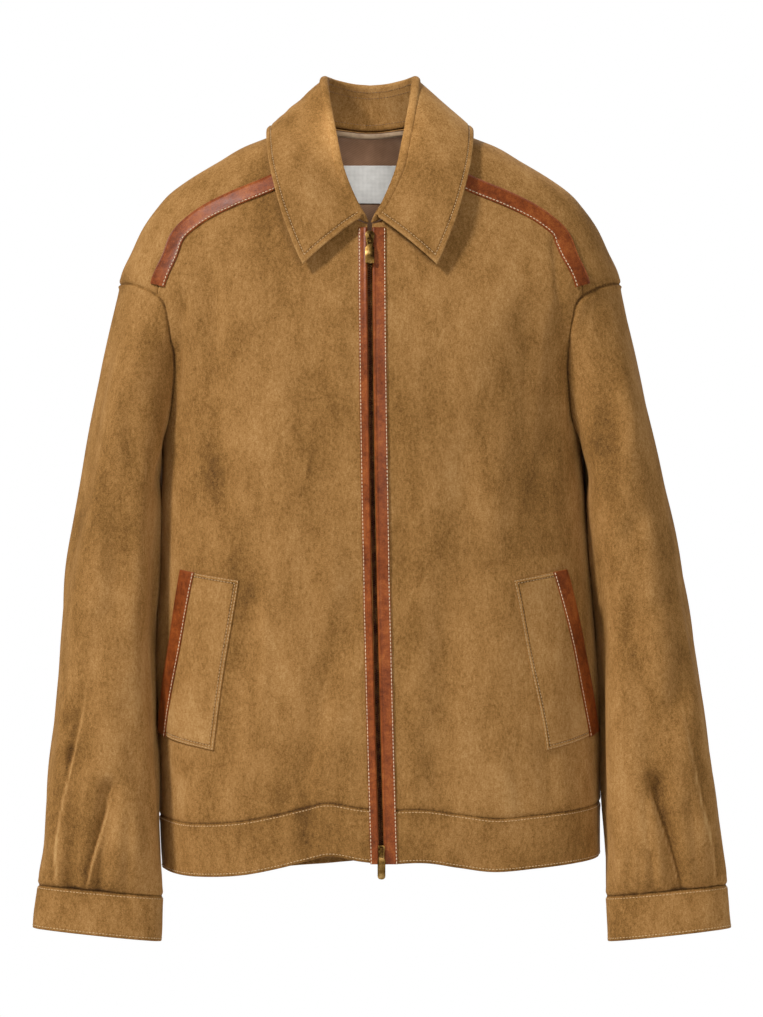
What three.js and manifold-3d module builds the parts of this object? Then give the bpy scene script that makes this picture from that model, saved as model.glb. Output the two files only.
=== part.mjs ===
import * as THREE from 'three';
import Module from 'manifold-3d';
import { mergeVertices } from 'three/addons/utils/BufferGeometryUtils.js';

// Suede zip jacket, filled out as if worn, with nobody in it.
// Millimetres, +Z up, the front faces -Y and +X is the wearer's left.
// The origin is in the middle of the neck base, level with the back neck seam.

const RADIAN = Math.PI / 180;

// Driving dimensions
const WALL = 2;                 // suede with its backing
const SLEEVE_WALL = 1.8;
const COLLAR_WALL = 2.4;
const TRIM_WALL = 1.4;          // leather strip
const LINING_WALL = 1;
const SEAM_GAP = 0.3;
const LIE_GAP = 0.6;            // from a panel to what lies on it
const NECK = { halfWidth: 62, front: 90, back: 58 };
const HEM_BAND_HEIGHT = 48;
const SHOULDER_TRIM = { width: 16, steps: 22, from: 2, to: 22 };   // steps along the seam, and the steps it covers
const FRONT_EDGE = 2;           // from the centre line to the edge of each front
const FRONT_TRIM = { left: 11.9, right: 8, topZ: -91.5, along: 26 };   // widths and ends of the strips by the zip
const COUNT = {
  across: 11, sideSeam: 12, frontArmhole: 10, backArmhole: 11, overShoulder: 5, frontNeck: 6, backNeck: 10,
};

// A table has a row for each section and a name for each column.
function table(columns, rows) {
  return Object.fromEntries(columns.split(' ').map((name, index) => [name, rows.map((row) => row[index])]));
}

// Torso rings from the hem up: half width, depth to the front and back, and how square the ring is.
const TORSO = table('z halfWidth front back power', [
  [-700, 197, 104, 102, 2.6],
  [-660, 198, 106, 104, 2.6],
  [-600, 198.5, 110, 107, 2.6],
  [-540, 199, 113, 109, 2.6],
  [-495, 198.5, 115, 111, 2.55],
  [-450, 196.5, 117, 113, 2.5],
  [-396, 194, 119, 115, 2.45],
  [-342, 191.5, 121, 118, 2.4],
  [-285, 189, 121, 120, 2.35],
  [-235, 192, 119, 120, 2.35],
  [-200, 199, 117, 118, 2.35],
  [-165, 216, 112, 114, 2.4],
  [-139, 224.5, 106, 110, 2.35],
  [-108, 213, 97, 105, 2.3],
  [-86, 202.5, 89.5, 99, 2.25],
  [-72, 192.6, 84, 94, 2.25],
  [-57.6, 180, 79, 88, 2.2],
  [-43, 159.8, 73, 82, 2.2],
  [-28.8, 136, 67, 75, 2.2],
  [-14.4, 111, 60, 67, 2.1],
  [-7, 92, 56, 63, 2.1],
  [0, 76, 52, 58.5, 2.1],
  [6, 62, 48, 54, 2.1],
  [12, 46, 40, 46, 2.1],
]);

// Height of the hem round the body, by the angle from the centre front.
const HEM = table('angle z', [
  [-180, -660], [-150, -665], [-125, -669], [-100, -664], [-83, -664], [-67, -669], [-54, -667], [-41, -659.5],
  [-24.5, -650], [-10, -654], [0, -656], [22, -656], [34, -660], [46, -664], [58, -661], [72, -656], [85, -652],
  [105, -655], [130, -665], [155, -662], [180, -660],
]);

// The front edge of the armhole, then the back edge, each from the top of the shoulder down. x is in front view.
const ARMHOLE_FRONT = table('x z', [
  [190, -150.5], [184.5, -157], [180.5, -174], [179, -200], [180, -235], [183.5, -266],
]);
const ARMHOLE_BACK = table('x z', [[208, -143], [197, -153], [187, -178], [179, -205], [173, -238], [175, -268]]);
const ARMHOLE_TOP_Z = -139;
const UNDERARM_Z = -288;

// The seam in front of the shoulder, from the neck to the armhole.
const FORWARD_SEAM = table('x z', [[88, -51], [122, -65], [154, -82], [170.5, -97], [179, -118]]);

// Sleeve rings from the armhole down. The outer and inner points are in front view; share is how much of the
// ring's own shape it has, the rest being the armhole's.
const SLEEVE = table('outerX outerZ innerX innerZ middleY halfDepth share hugLeft hugRight hugBack', [
  [228, -152, 192, -291, 2, 78, 0.22, 6, 8, 2],
  [232.3, -172, 194, -297, 2, 81, 0.5, 8, 10, 5],
  [238.8, -203, 195.5, -305, 1, 83, 0.78, 8, 10, 9],
  [247.5, -243, 196.5, -318, 0, 84, 0.94, 4, 7, 12],
  [256.3, -287, 197, -338, -2, 83, 1, 0, 5, 14],
  [265.5, -335, 198, -366, -6, 80, 1, -1, 4, 15],
  [275, -390, 200, -406, -12, 76, 1, -1, 3, 15],
  [283.7, -445, 202, -452, -19, 71, 1, 0, 1, 14],
  [290.5, -500, 203.5, -505, -26, 66, 1, 1, 1, 12],
  [297.2, -555, 204, -558, -33, 61, 1, 1, 1, 10],
  [303.2, -607, 203.5, -611, -38, 54, 1, 1, 1, 7],
  [307.2, -648, 202.5, -655, -41, 45, 1, 1, 1, 4],
  [308.8, -668, 201, -677, -43, 36, 1, 0, 0, 2],
]);
const CUFF = table('outerX outerZ innerX innerZ middleY halfDepth share hugLeft hugRight hugBack', [
  [308.4, -677, 200.6, -687, -43, 30.2, 1, 0, 0, 0],
  [310.6, -696, 201, -707, -43.5, 30, 1, 0, 0, 0],
  [312.2, -715.5, 202, -727.5, -44, 29, 1, 0, 0, 0],
]);
const HUG = { front: 128 * RADIAN, back: 232 * RADIAN, spread: 34 * RADIAN };
const SLEEVE_POWER = 2.25;

// Collar, from the centre front round to the centre back, by the angle round the neck: the top of the roll
// and the outer edge of the leaf.
const COLLAR = table('angle rollX rollY rollZ edgeX edgeY edgeZ rollRadius bulge', [
  [0, 5.2, -96, -82, 58.5, -110, -126, 1.7, 4],
  [14, 15, -88, -66, 65, -107.5, -113, 2.4, 4],
  [30, 27.5, -73, -36, 77, -98, -82, 3.2, 5],
  [45, 33.5, -56, -8, 84.5, -85, -56, 3.4, 5.5],
  [60, 38, -36, 17, 90, -66, -32, 3.4, 3],
  [75, 41, -18, 36, 92.5, -41, -12, 3.4, 1],
  [90, 42.2, 0, 46, 92.5, -12, -1, 3.4, 0],
  [110, 40, 20, 47.5, 89, 32, -2, 3.4, 1],
  [135, 31, 39, 45.5, 70, 73, -10, 4, 2],
  [160, 14.5, 50, 42.5, 32, 91, -15, 4.5, 3],
  [180, 0, 53, 41.5, 0, 95, -16, 4.5, 3],
]);
const COLLAR_RAISE = 1.1;        // the collar's lower edge above the neck seam
const COLLAR_COUNT = { stand: 4, roll: 5, leaf: 5 };

// Largest soft folds. Positions are in front view, depth is how far the cloth is pushed in.
const TORSO_FOLDS = table('x1 z1 x2 z2 width depth face', [
  [-146, -150, -136, -330, 20, 5, 1],
  [-118, -410, -141, -560, 18, 4, 1],
  [-18, -410, -84, -590, 26, 3.5, 1],
  [-66, -606, -66, -655, 12, 4, 1],
  [142, -180, 150, -370, 22, 4, 1],
  [84, -300, 60, -470, 26, 3, 1],
  [-105, -190, -75, -420, 28, 5, -1],
  [96, -230, 118, -470, 28, 5, -1],
  [20, -420, -30, -600, 30, 4, -1],
]);
const SLEEVE_FOLDS = table('x1 z1 x2 z2 width depth face side', [
  [244, -440, 272, -560, 13, 5, 1, -1],
  [272, -560, 278, -680, 8, 8, 1, -1],
  [240, -590, 254, -680, 8, 7, 1, -1],
  [214, -250, 226, -400, 16, 4, 1, -1],
  [226, -440, 246, -585, 14, 6, 1, 1],
  [246, -585, 264, -683, 8, 9, 1, 1],
  [297, -640, 298, -680, 7, 6, 1, 1],
  [205, -170, 214, -330, 14, 6, 1, 1],
  [236, -430, 262, -600, 16, 6, -1, -1],
  [262, -600, 270, -683, 9, 8, -1, -1],
  [230, -470, 256, -610, 16, 6, -1, 1],
  [256, -610, 262, -683, 9, 8, -1, 1],
]);

// Pocket corners by the angle round the body and the height. The mouth is the outer long side.
const POCKET = { innerTop: [50.5, -404], outerTop: [67.5, -395], innerLow: [59.5, -556], outerLow: [80, -540] };
const POCKET_WALL = 1.4;
const POCKET_GAP = 1;
const POCKET_TRIM_SHARE = 0.28;
const POCKET_COUNT = { along: 9, across: 4 };

const LINING = { halfAngle: 56, below: 4, bottomZ: -125, behind: 2, along: 6, across: 16 };
const LABEL = { width: 50, topZ: -26, bottomZ: -60, thickness: 0.7 };

const ZIP = {
  chainHalfWidth: 1.7, chainTop: 1.1, tapeHalfWidth: 13, tapeTop: -2.8, tapeBottom: -3.6, low: -2.3,
  topZ: -92, bottomZ: -654,
};
const SLIDER_TOP = { z: -103, halfLength: 8.3, halfWidth: 4.1, tilt: true };
const SLIDER_BOTTOM = { z: -644.5, halfLength: 5.6, halfWidth: 3.2, tilt: false };
const SLIDER = { plateBack: 2.7, plateFront: 4.3, stemHalfWidth: 1.4, stemBack: -1.8 };
const BRIDGE = { halfLength: 4, wall: 1.1, height: 3.5, width: 2.4 };
const PULL_TOP = { width: 8.2, length: 23.3, neck: 7.4, round: 1.2 };
const PULL_BOTTOM = { width: 7, length: 24.8, neck: 7, round: 3.4 };
const PULL = { thickness: 1.2, slotHalfWidth: 1.5, neckHalfWidth: 2.5, slotLength: 4.6, barHalf: 0.65, pivotOut: 5.7 };

const SUEDE = new THREE.MeshStandardMaterial({ color: 0x9c7244, roughness: 0.95 });
const LEATHER = new THREE.MeshStandardMaterial({ color: 0x8d4a2b, roughness: 0.5 });
const SATIN = new THREE.MeshStandardMaterial({ color: 0x7f5e47, roughness: 0.55 });
const WOVEN_LABEL = new THREE.MeshStandardMaterial({ color: 0xd9d5cc, roughness: 0.8 });
const ZIP_TAPE = new THREE.MeshStandardMaterial({ color: 0x593022, roughness: 0.8 });
const BRASS = new THREE.MeshStandardMaterial({ color: 0x8a6233, roughness: 0.35, metalness: 1 });

// Smooth interpolation

function slopeAt(keys, values, index) {
  const last = keys.length - 1;
  if (index === 0) return (values[1] - values[0]) / (keys[1] - keys[0]);
  if (index === last) return (values[last] - values[last - 1]) / (keys[last] - keys[last - 1]);
  const before = keys[index] - keys[index - 1];
  const after = keys[index + 1] - keys[index];
  const slopeBefore = (values[index] - values[index - 1]) / before;
  const slopeAfter = (values[index + 1] - values[index]) / after;
  return (slopeBefore * after + slopeAfter * before) / (before + after);
}

function smoothAt(keys, values, key) {
  const last = keys.length - 1;
  const wanted = Math.min(Math.max(key, keys[0]), keys[last]);
  let index = 0;
  while (index < last - 1 && keys[index + 1] < wanted) index += 1;
  const span = keys[index + 1] - keys[index];
  const t = (wanted - keys[index]) / span;
  const t2 = t * t;
  const t3 = t2 * t;
  return values[index] * (2 * t3 - 3 * t2 + 1)
    + values[index + 1] * (3 * t2 - 2 * t3)
    + slopeAt(keys, values, index) * span * (t3 - 2 * t2 + t)
    + slopeAt(keys, values, index + 1) * span * (t3 - t2);
}

function clamp(value, low, high) {
  return Math.min(Math.max(value, low), high);
}

// The jacket hangs a little to the wearer's left towards the hem.
function sway(z) {
  return 10.8 * Math.pow(clamp((-z - 100) / 560, 0, 1), 1.6);
}

function foldDepth(folds, x, z, face, side) {
  let depth = 0;
  for (let row = 0; row < folds.x1.length; row += 1) {
    if (folds.face[row] !== face || (side && folds.side[row] !== side)) continue;
    const dx = folds.x2[row] - folds.x1[row];
    const dz = folds.z2[row] - folds.z1[row];
    const along = clamp(((x - folds.x1[row]) * dx + (z - folds.z1[row]) * dz) / (dx * dx + dz * dz), 0, 1);
    const away = Math.hypot(x - folds.x1[row] - along * dx, z - folds.z1[row] - along * dz);
    depth += folds.depth[row] * Math.exp(-Math.pow(away / folds.width[row], 2));
  }
  return depth;
}

// Torso surface

function torsoRadius(angle, z) {
  const power = smoothAt(TORSO.z, TORSO.power, z);
  const depth = smoothAt(TORSO.z, Math.cos(angle) > 0 ? TORSO.front : TORSO.back, z);
  const across = Math.abs(Math.sin(angle)) / smoothAt(TORSO.z, TORSO.halfWidth, z);
  const along = Math.abs(Math.cos(angle)) / depth;
  return Math.pow(Math.pow(across, power) + Math.pow(along, power), -1 / power);
}

// The angle from the centre front at which the torso has this front-view x; face is 1 in front, -1 behind.
function angleAtX(x, z, face = 1) {
  const power = smoothAt(TORSO.z, TORSO.power, z);
  const depth = smoothAt(TORSO.z, face > 0 ? TORSO.front : TORSO.back, z);
  const share = Math.pow(Math.abs(x) / smoothAt(TORSO.z, TORSO.halfWidth, z), power);
  return Math.atan2(x, face * depth * Math.pow(Math.max(1 - share, 0), 1 / power));
}

function torsoPoint(angle, z) {
  const plain = torsoRadius(angle, z);
  const face = Math.cos(angle) > 0 ? 1 : -1;
  const fade = Math.min(1, Math.abs(Math.cos(angle)) * 3);
  const radius = plain - fade * foldDepth(TORSO_FOLDS, plain * Math.sin(angle), z, face);
  return new THREE.Vector3(radius * Math.sin(angle) + sway(z), -radius * Math.cos(angle), z);
}

function torsoNormal(angle, z) {
  const round = torsoPoint(angle + 0.01, z).sub(torsoPoint(angle - 0.01, z));
  const up = torsoPoint(angle, z + 1.5).sub(torsoPoint(angle, z - 1.5));
  return round.cross(up).normalize();
}

function torsoLifted([angle, z], lift) {
  return torsoPoint(angle, z).addScaledVector(torsoNormal(angle, z), lift);
}

// Closed shapes

function meshFrom(name, positions, triangles, material) {
  const geometry = new THREE.BufferGeometry();
  geometry.setAttribute('position', new THREE.Float32BufferAttribute(positions, 3));
  geometry.setIndex(triangles);
  geometry.computeVertexNormals();
  const mesh = new THREE.Mesh(geometry, material);
  mesh.name = name;
  return mesh;
}

// One closed wall: an outer skin of quads over a list of points, the same skin moved in, and the rim between.
function shell(name, outer, inner, quads, material) {
  const count = outer.length;
  const positions = [...outer, ...inner].flatMap((point) => [point.x, point.y, point.z]);
  const skin = quads.flatMap(([a, b, c, d]) => [[a, b, c], [a, c, d]]);
  const edges = skin.flatMap(([a, b, c]) => [[a, b], [b, c], [c, a]]);
  const known = new Set(edges.map(([a, b]) => `${a} ${b}`));
  const rim = edges.filter(([a, b]) => !known.has(`${b} ${a}`))
    .flatMap(([a, b]) => [[b, a, a + count], [b, a + count, b + count]]);
  const lining = skin.map(([a, b, c]) => [c + count, b + count, a + count]);
  return meshFrom(name, positions, [...skin, ...lining, ...rim].flat(), material);
}

// The quads of a grid. The rows go up and the columns go round so that the outer side faces out.
function gridQuads(rows, columns, at) {
  const quads = [];
  for (let row = 0; row < rows - 1; row += 1) {
    for (let column = 0; column < columns - 1; column += 1) {
      quads.push([at(row, column), at(row, column + 1), at(row + 1, column + 1), at(row + 1, column)]);
    }
  }
  return quads;
}

function wall(name, outer, inner, material, around = false) {
  const columns = outer[0].length;
  const at = (row, column) => row * columns + (column % columns);
  const quads = gridQuads(outer.length, around ? columns + 1 : columns, at);
  return shell(name, outer.flat(), inner.flat(), quads, material);
}

// A wall on the torso, from a grid of [angle, z] places, between two lifts above the surface.
function torsoWall(name, places, liftOut, liftIn, material, trim = {}) {
  const outer = insetEdges(places.map((row) => row.map((place) => torsoLifted(place, liftOut))), trim);
  const inner = insetEdges(places.map((row) => row.map((place) => torsoLifted(place, liftIn))), trim);
  return wall(name, outer, inner, material);
}

// Pulls the named edges of a grid back along the surface, which leaves the gap of a seam.
function insetEdges(grid, { low = 0, high = 0, first = 0, last = 0 }) {
  const moved = grid.map((row) => row.map((point) => point.clone()));
  const pull = (point, from, towards, by) => point.addScaledVector(towards.clone().sub(from).normalize(), by);
  const top = grid.length - 1;
  const end = grid[0].length - 1;
  for (let column = 0; column <= end; column += 1) {
    if (low) pull(moved[0][column], grid[0][column], grid[1][column], low);
    if (high) pull(moved[top][column], grid[top][column], grid[top - 1][column], high);
  }
  for (let row = 0; row <= top; row += 1) {
    if (first) pull(moved[row][0], grid[row][0], grid[row][1], first);
    if (last) pull(moved[row][end], grid[row][end], grid[row][end - 1], last);
  }
  return moved;
}

// Normals of a grid of points, from their neighbours.
function gridNormals(grid, around = false) {
  const top = grid.length - 1;
  const count = grid[0].length;
  return grid.map((row, r) => row.map((point, c) => {
    const next = around ? grid[r][(c + 1) % count] : grid[r][Math.min(c + 1, count - 1)];
    const previous = around ? grid[r][(c + count - 1) % count] : grid[r][Math.max(c - 1, 0)];
    const up = grid[Math.min(r + 1, top)][c].clone().sub(grid[Math.max(r - 1, 0)][c]);
    return next.clone().sub(previous).cross(up).normalize();
  }));
}

// Seam lines on the torso, as [angle, z] places

function evenly(places, count) {
  const lengths = [0];
  for (let index = 1; index < places.length; index += 1) {
    const step = torsoPoint(...places[index]).distanceTo(torsoPoint(...places[index - 1]));
    lengths.push(lengths[index - 1] + step);
  }
  const angles = places.map((place) => place[0]);
  const heights = places.map((place) => place[1]);
  return Array.from({ length: count + 1 }, (_, index) => {
    const at = (lengths[lengths.length - 1] * index) / count;
    return [smoothAt(lengths, angles, at), smoothAt(lengths, heights, at)];
  });
}

function neckPlace(around) {
  const depth = Math.cos(around) > 0 ? NECK.front : NECK.back;
  const x = NECK.halfWidth * Math.sin(around);
  const y = -depth * Math.cos(around);
  const angle = Math.atan2(x, -y);
  let high = 11;
  let low = -120;
  while (high - low > 0.01) {
    const middle = (high + low) / 2;
    if (torsoRadius(angle, middle) > Math.hypot(x, y)) low = middle;
    else high = middle;
  }
  return [angle, (high + low) / 2];
}

const NECK_SEAM_AROUND = 46.5 * RADIAN;   // where the forward seam meets the neckline

function neckLine(from, to, count) {
  return Array.from({ length: count + 1 }, (_, index) => neckPlace(from + ((to - from) * index) / count));
}

function hemZ(angle) {
  return smoothAt(HEM.angle, HEM.z, angle / RADIAN);
}

function bandTopZ(angle) {
  return hemZ(angle) + HEM_BAND_HEIGHT;
}

function placesFrom(points, face) {
  return points.x.map((x, index) => [angleAtX(x, points.z[index], face), points.z[index]]);
}

const QUARTER = Math.PI / 2;
const forwardSeam = evenly([
  neckPlace(NECK_SEAM_AROUND), ...placesFrom(FORWARD_SEAM, 1), placesFrom(ARMHOLE_FRONT, 1)[0],
], COUNT.across);
const frontArmhole = evenly([...placesFrom(ARMHOLE_FRONT, 1), [QUARTER, UNDERARM_Z]], COUNT.frontArmhole).reverse();
const backArmhole = evenly([
  [QUARTER, ARMHOLE_TOP_Z], ...placesFrom(ARMHOLE_BACK, -1), [QUARTER, UNDERARM_Z],
], COUNT.backArmhole).reverse();
const overShoulder = evenly([
  [QUARTER, ARMHOLE_TOP_Z], [angleAtX(208, -141.5), -141.5], [angleAtX(198, -146), -146],
  placesFrom(ARMHOLE_FRONT, 1)[0],
], COUNT.overShoulder);

function mirrored(places, side) {
  return places.map(([angle, z]) => [angle * side, z]);
}

function straight(from, to, count) {
  return Array.from({ length: count + 1 }, (_, index) => [
    from[0] + ((to[0] - from[0]) * index) / count, from[1] + ((to[1] - from[1]) * index) / count,
  ]);
}

// Fills a patch between four lines of places: each row goes from the left line to the right one.
function patch(left, right, bottom, top) {
  const rows = left.length - 1;
  const columns = bottom.length - 1;
  return left.map((_, r) => bottom.map((__, c) => {
    const u = c / columns;
    const v = r / rows;
    return [0, 1].map((part) => (1 - u) * left[r][part] + u * right[r][part]
      + (1 - v) * bottom[c][part] + v * top[c][part]
      - (1 - u) * (1 - v) * left[0][part] - u * (1 - v) * right[0][part]
      - (1 - u) * v * left[rows][part] - u * v * right[rows][part]);
  }));
}

function bandLine(from, to, count) {
  return Array.from({ length: count + 1 }, (_, index) => {
    const angle = from + ((to - from) * index) / count;
    return [angle, bandTopZ(angle)];
  });
}

// Rows of each front from the hem band up, and columns from its edge at the zip to the side seam.
function frontPlaces(side) {
  const edgeAt = (z) => side * angleAtX(FRONT_EDGE, z);
  const low = bandTopZ(0);
  const neck = mirrored(neckLine(2 * RADIAN, NECK_SEAM_AROUND, COUNT.frontNeck), side);
  const straightRows = COUNT.sideSeam + COUNT.frontArmhole - COUNT.frontNeck;
  const centre = straight([edgeAt(low), low], neck[0], straightRows).map(([, z]) => [edgeAt(z), z]);
  const left = [...centre, ...neck.slice(1)];
  const sideLow = [side * QUARTER, bandTopZ(side * QUARTER)];
  const right = [
    ...straight(sideLow, [side * QUARTER, UNDERARM_Z], COUNT.sideSeam), ...mirrored(frontArmhole, side).slice(1),
  ];
  const bottom = bandLine(edgeAt(low), side * QUARTER, COUNT.across);
  const top = mirrored(forwardSeam, side);
  const rows = patch(left, right, bottom, top);
  return side > 0 ? rows : rows.map((row) => row.reverse());
}

function backHalf(side) {
  const neck = mirrored(neckLine(Math.PI, NECK_SEAM_AROUND, COUNT.backNeck), side);
  const rows = COUNT.sideSeam + COUNT.backArmhole + COUNT.overShoulder;
  const centreLow = [side * Math.PI, bandTopZ(side * Math.PI)];
  const centre = straight(centreLow, neck[0], rows - COUNT.backNeck);
  const left = [...centre, ...neck.slice(1)];
  const sideLow = [side * QUARTER, bandTopZ(side * QUARTER)];
  const right = [
    ...straight(sideLow, [side * QUARTER, UNDERARM_Z], COUNT.sideSeam), ...mirrored(backArmhole, side).slice(1),
    ...mirrored(overShoulder, side).slice(1),
  ];
  const bottom = bandLine(side * Math.PI, side * QUARTER, COUNT.across);
  const top = mirrored(forwardSeam, side);
  return patch(left, right, bottom, top);
}

// Body panels

function front(name, side) {
  const trim = { high: SEAM_GAP / 2, low: SEAM_GAP / 2 };
  return torsoWall(name, frontPlaces(side), 0, -WALL, SUEDE, trim);
}

// The two halves of the back share their points up to the neck, and each goes on over its shoulder.
function back() {
  const trim = { high: SEAM_GAP / 2, low: SEAM_GAP / 2 };
  const half = (side, lift, edges) => {
    const places = backHalf(side);
    const rows = side > 0 ? places.map((row) => row.reverse()) : places;
    return insetEdges(rows.map((row) => row.map((place) => torsoLifted(place, lift))), { ...trim, ...edges });
  };
  const skin = (lift) => [half(1, lift, { first: SEAM_GAP }), half(-1, lift, { last: SEAM_GAP })];
  const outer = skin(0);
  const inner = skin(-WALL);
  const rows = outer[0].length;
  const columns = COUNT.across + 1;
  const shared = rows - COUNT.backNeck;
  const leftAt = (row, column) => row * columns + column;
  const rightAt = (row, column) => (column === 0 && row < shared
    ? leftAt(row, columns - 1) : rows * columns + row * columns + column);
  const quads = [...gridQuads(rows, columns, leftAt), ...gridQuads(rows, columns, rightAt)];
  const used = [...new Set(quads.flat())].sort((a, b) => a - b);
  const slot = new Map(used.map((point, index) => [point, index]));
  const pick = (skins) => {
    const points = skins.flatMap((grid) => grid.flat());
    return used.map((point) => points[point]);
  };
  return shell('back', pick(outer), pick(inner), quads.map((quad) => quad.map((point) => slot.get(point))), SUEDE);
}

function hemBand() {
  const edge = angleAtX(FRONT_EDGE, bandTopZ(0));
  const span = (from, to) => Array.from({ length: COUNT.across }, (_, index) => (
    from + ((to - from) * index) / COUNT.across));
  const angles = [
    ...span(edge, QUARTER), ...span(QUARTER, Math.PI), ...span(-Math.PI, -QUARTER), ...span(-QUARTER, -edge), -edge,
  ];
  const rows = [0, 0.5, 1].map((share) => angles.map((angle) => [angle, hemZ(angle) + share * HEM_BAND_HEIGHT]));
  return torsoWall('hem_band', rows, 0, -WALL, SUEDE, { high: SEAM_GAP / 2 });
}

// Sleeves and cuffs

function ringPoint(rings, row, side, around, folded) {
  const half = [(rings.outerX[row] - rings.innerX[row]) / 2, (rings.outerZ[row] - rings.innerZ[row]) / 2];
  const bend = (value) => Math.sign(value) * Math.pow(Math.abs(value), 2 / SLEEVE_POWER);
  const near = (middle) => Math.exp(-Math.pow((around - middle) / HUG.spread, 2));
  const across = bend(Math.cos(around));
  const forward = bend(Math.sin(around));
  const hugFront = side > 0 ? rings.hugLeft[row] : rings.hugRight[row];
  const hug = hugFront * near(HUG.front) + rings.hugBack[row] * near(HUG.back);
  const x = (rings.outerX[row] + rings.innerX[row]) / 2 + half[0] * across - hug;
  const z = (rings.outerZ[row] + rings.innerZ[row]) / 2 + half[1] * across;
  const face = forward > 0 ? 1 : -1;
  const fold = folded ? foldDepth(SLEEVE_FOLDS, x, z, face, side) * Math.abs(Math.sin(around)) : 0;
  return new THREE.Vector3(side * x + sway(z), rings.middleY[row] - forward * (rings.halfDepth[row] - fold), z);
}

// The armhole as a loop of torso places from the top of the shoulder, forwards and down, then up the back.
function armholeLoop(side) {
  return mirrored([
    ...overShoulder, ...[...frontArmhole].reverse().slice(1), ...backArmhole.slice(1, -1),
  ], side);
}

// The angle round the sleeve of each point of the armhole: 0 at the top, half a turn at the underarm.
function armholeAngles(loop) {
  const points = loop.map((place) => torsoPoint(...place));
  const lowest = COUNT.overShoulder + COUNT.frontArmhole;
  const lengths = [0];
  for (let index = 1; index <= points.length; index += 1) {
    lengths.push(lengths[index - 1] + points[index % points.length].distanceTo(points[index - 1]));
  }
  const whole = lengths[points.length];
  return points.map((_, index) => (index <= lowest
    ? (Math.PI * lengths[index]) / lengths[lowest]
    : Math.PI * (1 + (lengths[index] - lengths[lowest]) / (whole - lengths[lowest]))));
}

function tube(name, side, rows, normalAt) {
  const upwards = [...rows].reverse();
  const ordered = side > 0 ? upwards.map((row) => [...row].reverse()) : upwards;
  const normals = gridNormals(ordered, true);
  const inner = ordered.map((row, r) => row.map((point, c) => (
    point.clone().addScaledVector(normalAt(r, c, normals[r][c]), -SLEEVE_WALL))));
  return wall(name, ordered, inner, SUEDE, true);
}

function levelled(normal) {
  return new THREE.Vector3(normal.x, normal.y, 0).normalize();
}

function sleeve(name, side) {
  const loop = armholeLoop(side);
  const angles = armholeAngles(loop);
  const seam = loop.map((place) => torsoPoint(...place));
  const rings = SLEEVE.outerX.map((_, row) => angles.map((around, index) => {
    const own = ringPoint(SLEEVE, row, side, around, true);
    const drop = own.z - (seam[index].z + own.z) / 2;
    const follow = seam[index].clone().add(new THREE.Vector3(0, 0, drop * 0.4));
    return follow.lerp(own, SLEEVE.share[row]);
  }));
  const end = angles.map((around) => ringPoint(CUFF, 0, side, around).add(new THREE.Vector3(0, 0, SEAM_GAP)));
  const first = seam.map((point, index) => {
    const away = rings[0][index].clone().sub(point).normalize();
    const body = torsoNormal(...loop[index]);
    return point.clone().addScaledVector(away, SEAM_GAP).addScaledVector(body, 0.15)
      .add(new THREE.Vector3(side * SEAM_GAP, 0, 0));
  });
  const bodyNormals = loop.map((place) => torsoNormal(...place));
  const top = SLEEVE.outerX.length + 1;
  const normalAt = (row, column, own) => {
    if (row === 0) return levelled(own);
    if (row !== top) return own;
    const index = side > 0 ? seam.length - 1 - column : column;
    const away = rings[0][index].clone().sub(seam[index]).normalize();
    return away.dot(bodyNormals[index]) > 0.05 ? own : own.clone().add(bodyNormals[index]).normalize();
  };
  return tube(name, side, [first, ...rings, end], normalAt);
}

function cuff(name, side) {
  const angles = armholeAngles(armholeLoop(side));
  const rows = CUFF.outerX.map((_, row) => angles.map((around) => ringPoint(CUFF, row, side, around, false)));
  const top = rows.length - 1;
  return tube(name, side, rows, (row, column, own) => (row === top ? levelled(own) : own));
}

// Collar

function collarSection(place, around, side) {
  const read = (column) => smoothAt(COLLAR.angle, COLLAR[column], around / RADIAN);
  const neck = torsoPoint(...place);
  const roll = new THREE.Vector3(side * read('rollX'), read('rollY'), read('rollZ'));
  const edge = new THREE.Vector3(side * read('edgeX'), read('edgeY'), read('edgeZ'));
  const radius = read('rollRadius');
  const outwards = edge.clone().sub(neck);
  outwards.z = 0;
  outwards.normalize();
  const seam = neck.clone().addScaledVector(outwards, -COLLAR_WALL / 2 - SEAM_GAP);
  seam.z += COLLAR_RAISE;
  const leaf = edge.clone().sub(roll).normalize();
  const radial = new THREE.Vector3(side * Math.sin(around), -Math.cos(around), 0.5);
  const bulge = radial.addScaledVector(leaf, -radial.dot(leaf)).normalize().multiplyScalar(read('bulge'));
  const rise = new THREE.Vector3(0, 0, 1).addScaledVector(outwards, 0.35).normalize();
  const centre = roll.clone().addScaledVector(rise, -radius);
  const side0 = outwards.clone().addScaledVector(rise, -outwards.dot(rise)).normalize();
  const standTop = centre.clone().addScaledVector(side0, -radius);
  const leafTop = centre.clone().addScaledVector(side0, radius);
  const points = [];
  for (let step = 0; step < COLLAR_COUNT.stand; step += 1) {
    points.push(seam.clone().lerp(standTop, step / COLLAR_COUNT.stand));
  }
  for (let step = 0; step < COLLAR_COUNT.roll; step += 1) {
    const turn = (Math.PI * step) / COLLAR_COUNT.roll;
    points.push(centre.clone().addScaledVector(side0, -radius * Math.cos(turn))
      .addScaledVector(rise, radius * Math.sin(turn)));
  }
  for (let step = 0; step <= COLLAR_COUNT.leaf; step += 1) {
    const share = step / COLLAR_COUNT.leaf;
    points.push(leafTop.clone().lerp(edge, share).addScaledVector(bulge, Math.sin(Math.PI * share)));
  }
  return points;
}

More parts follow.
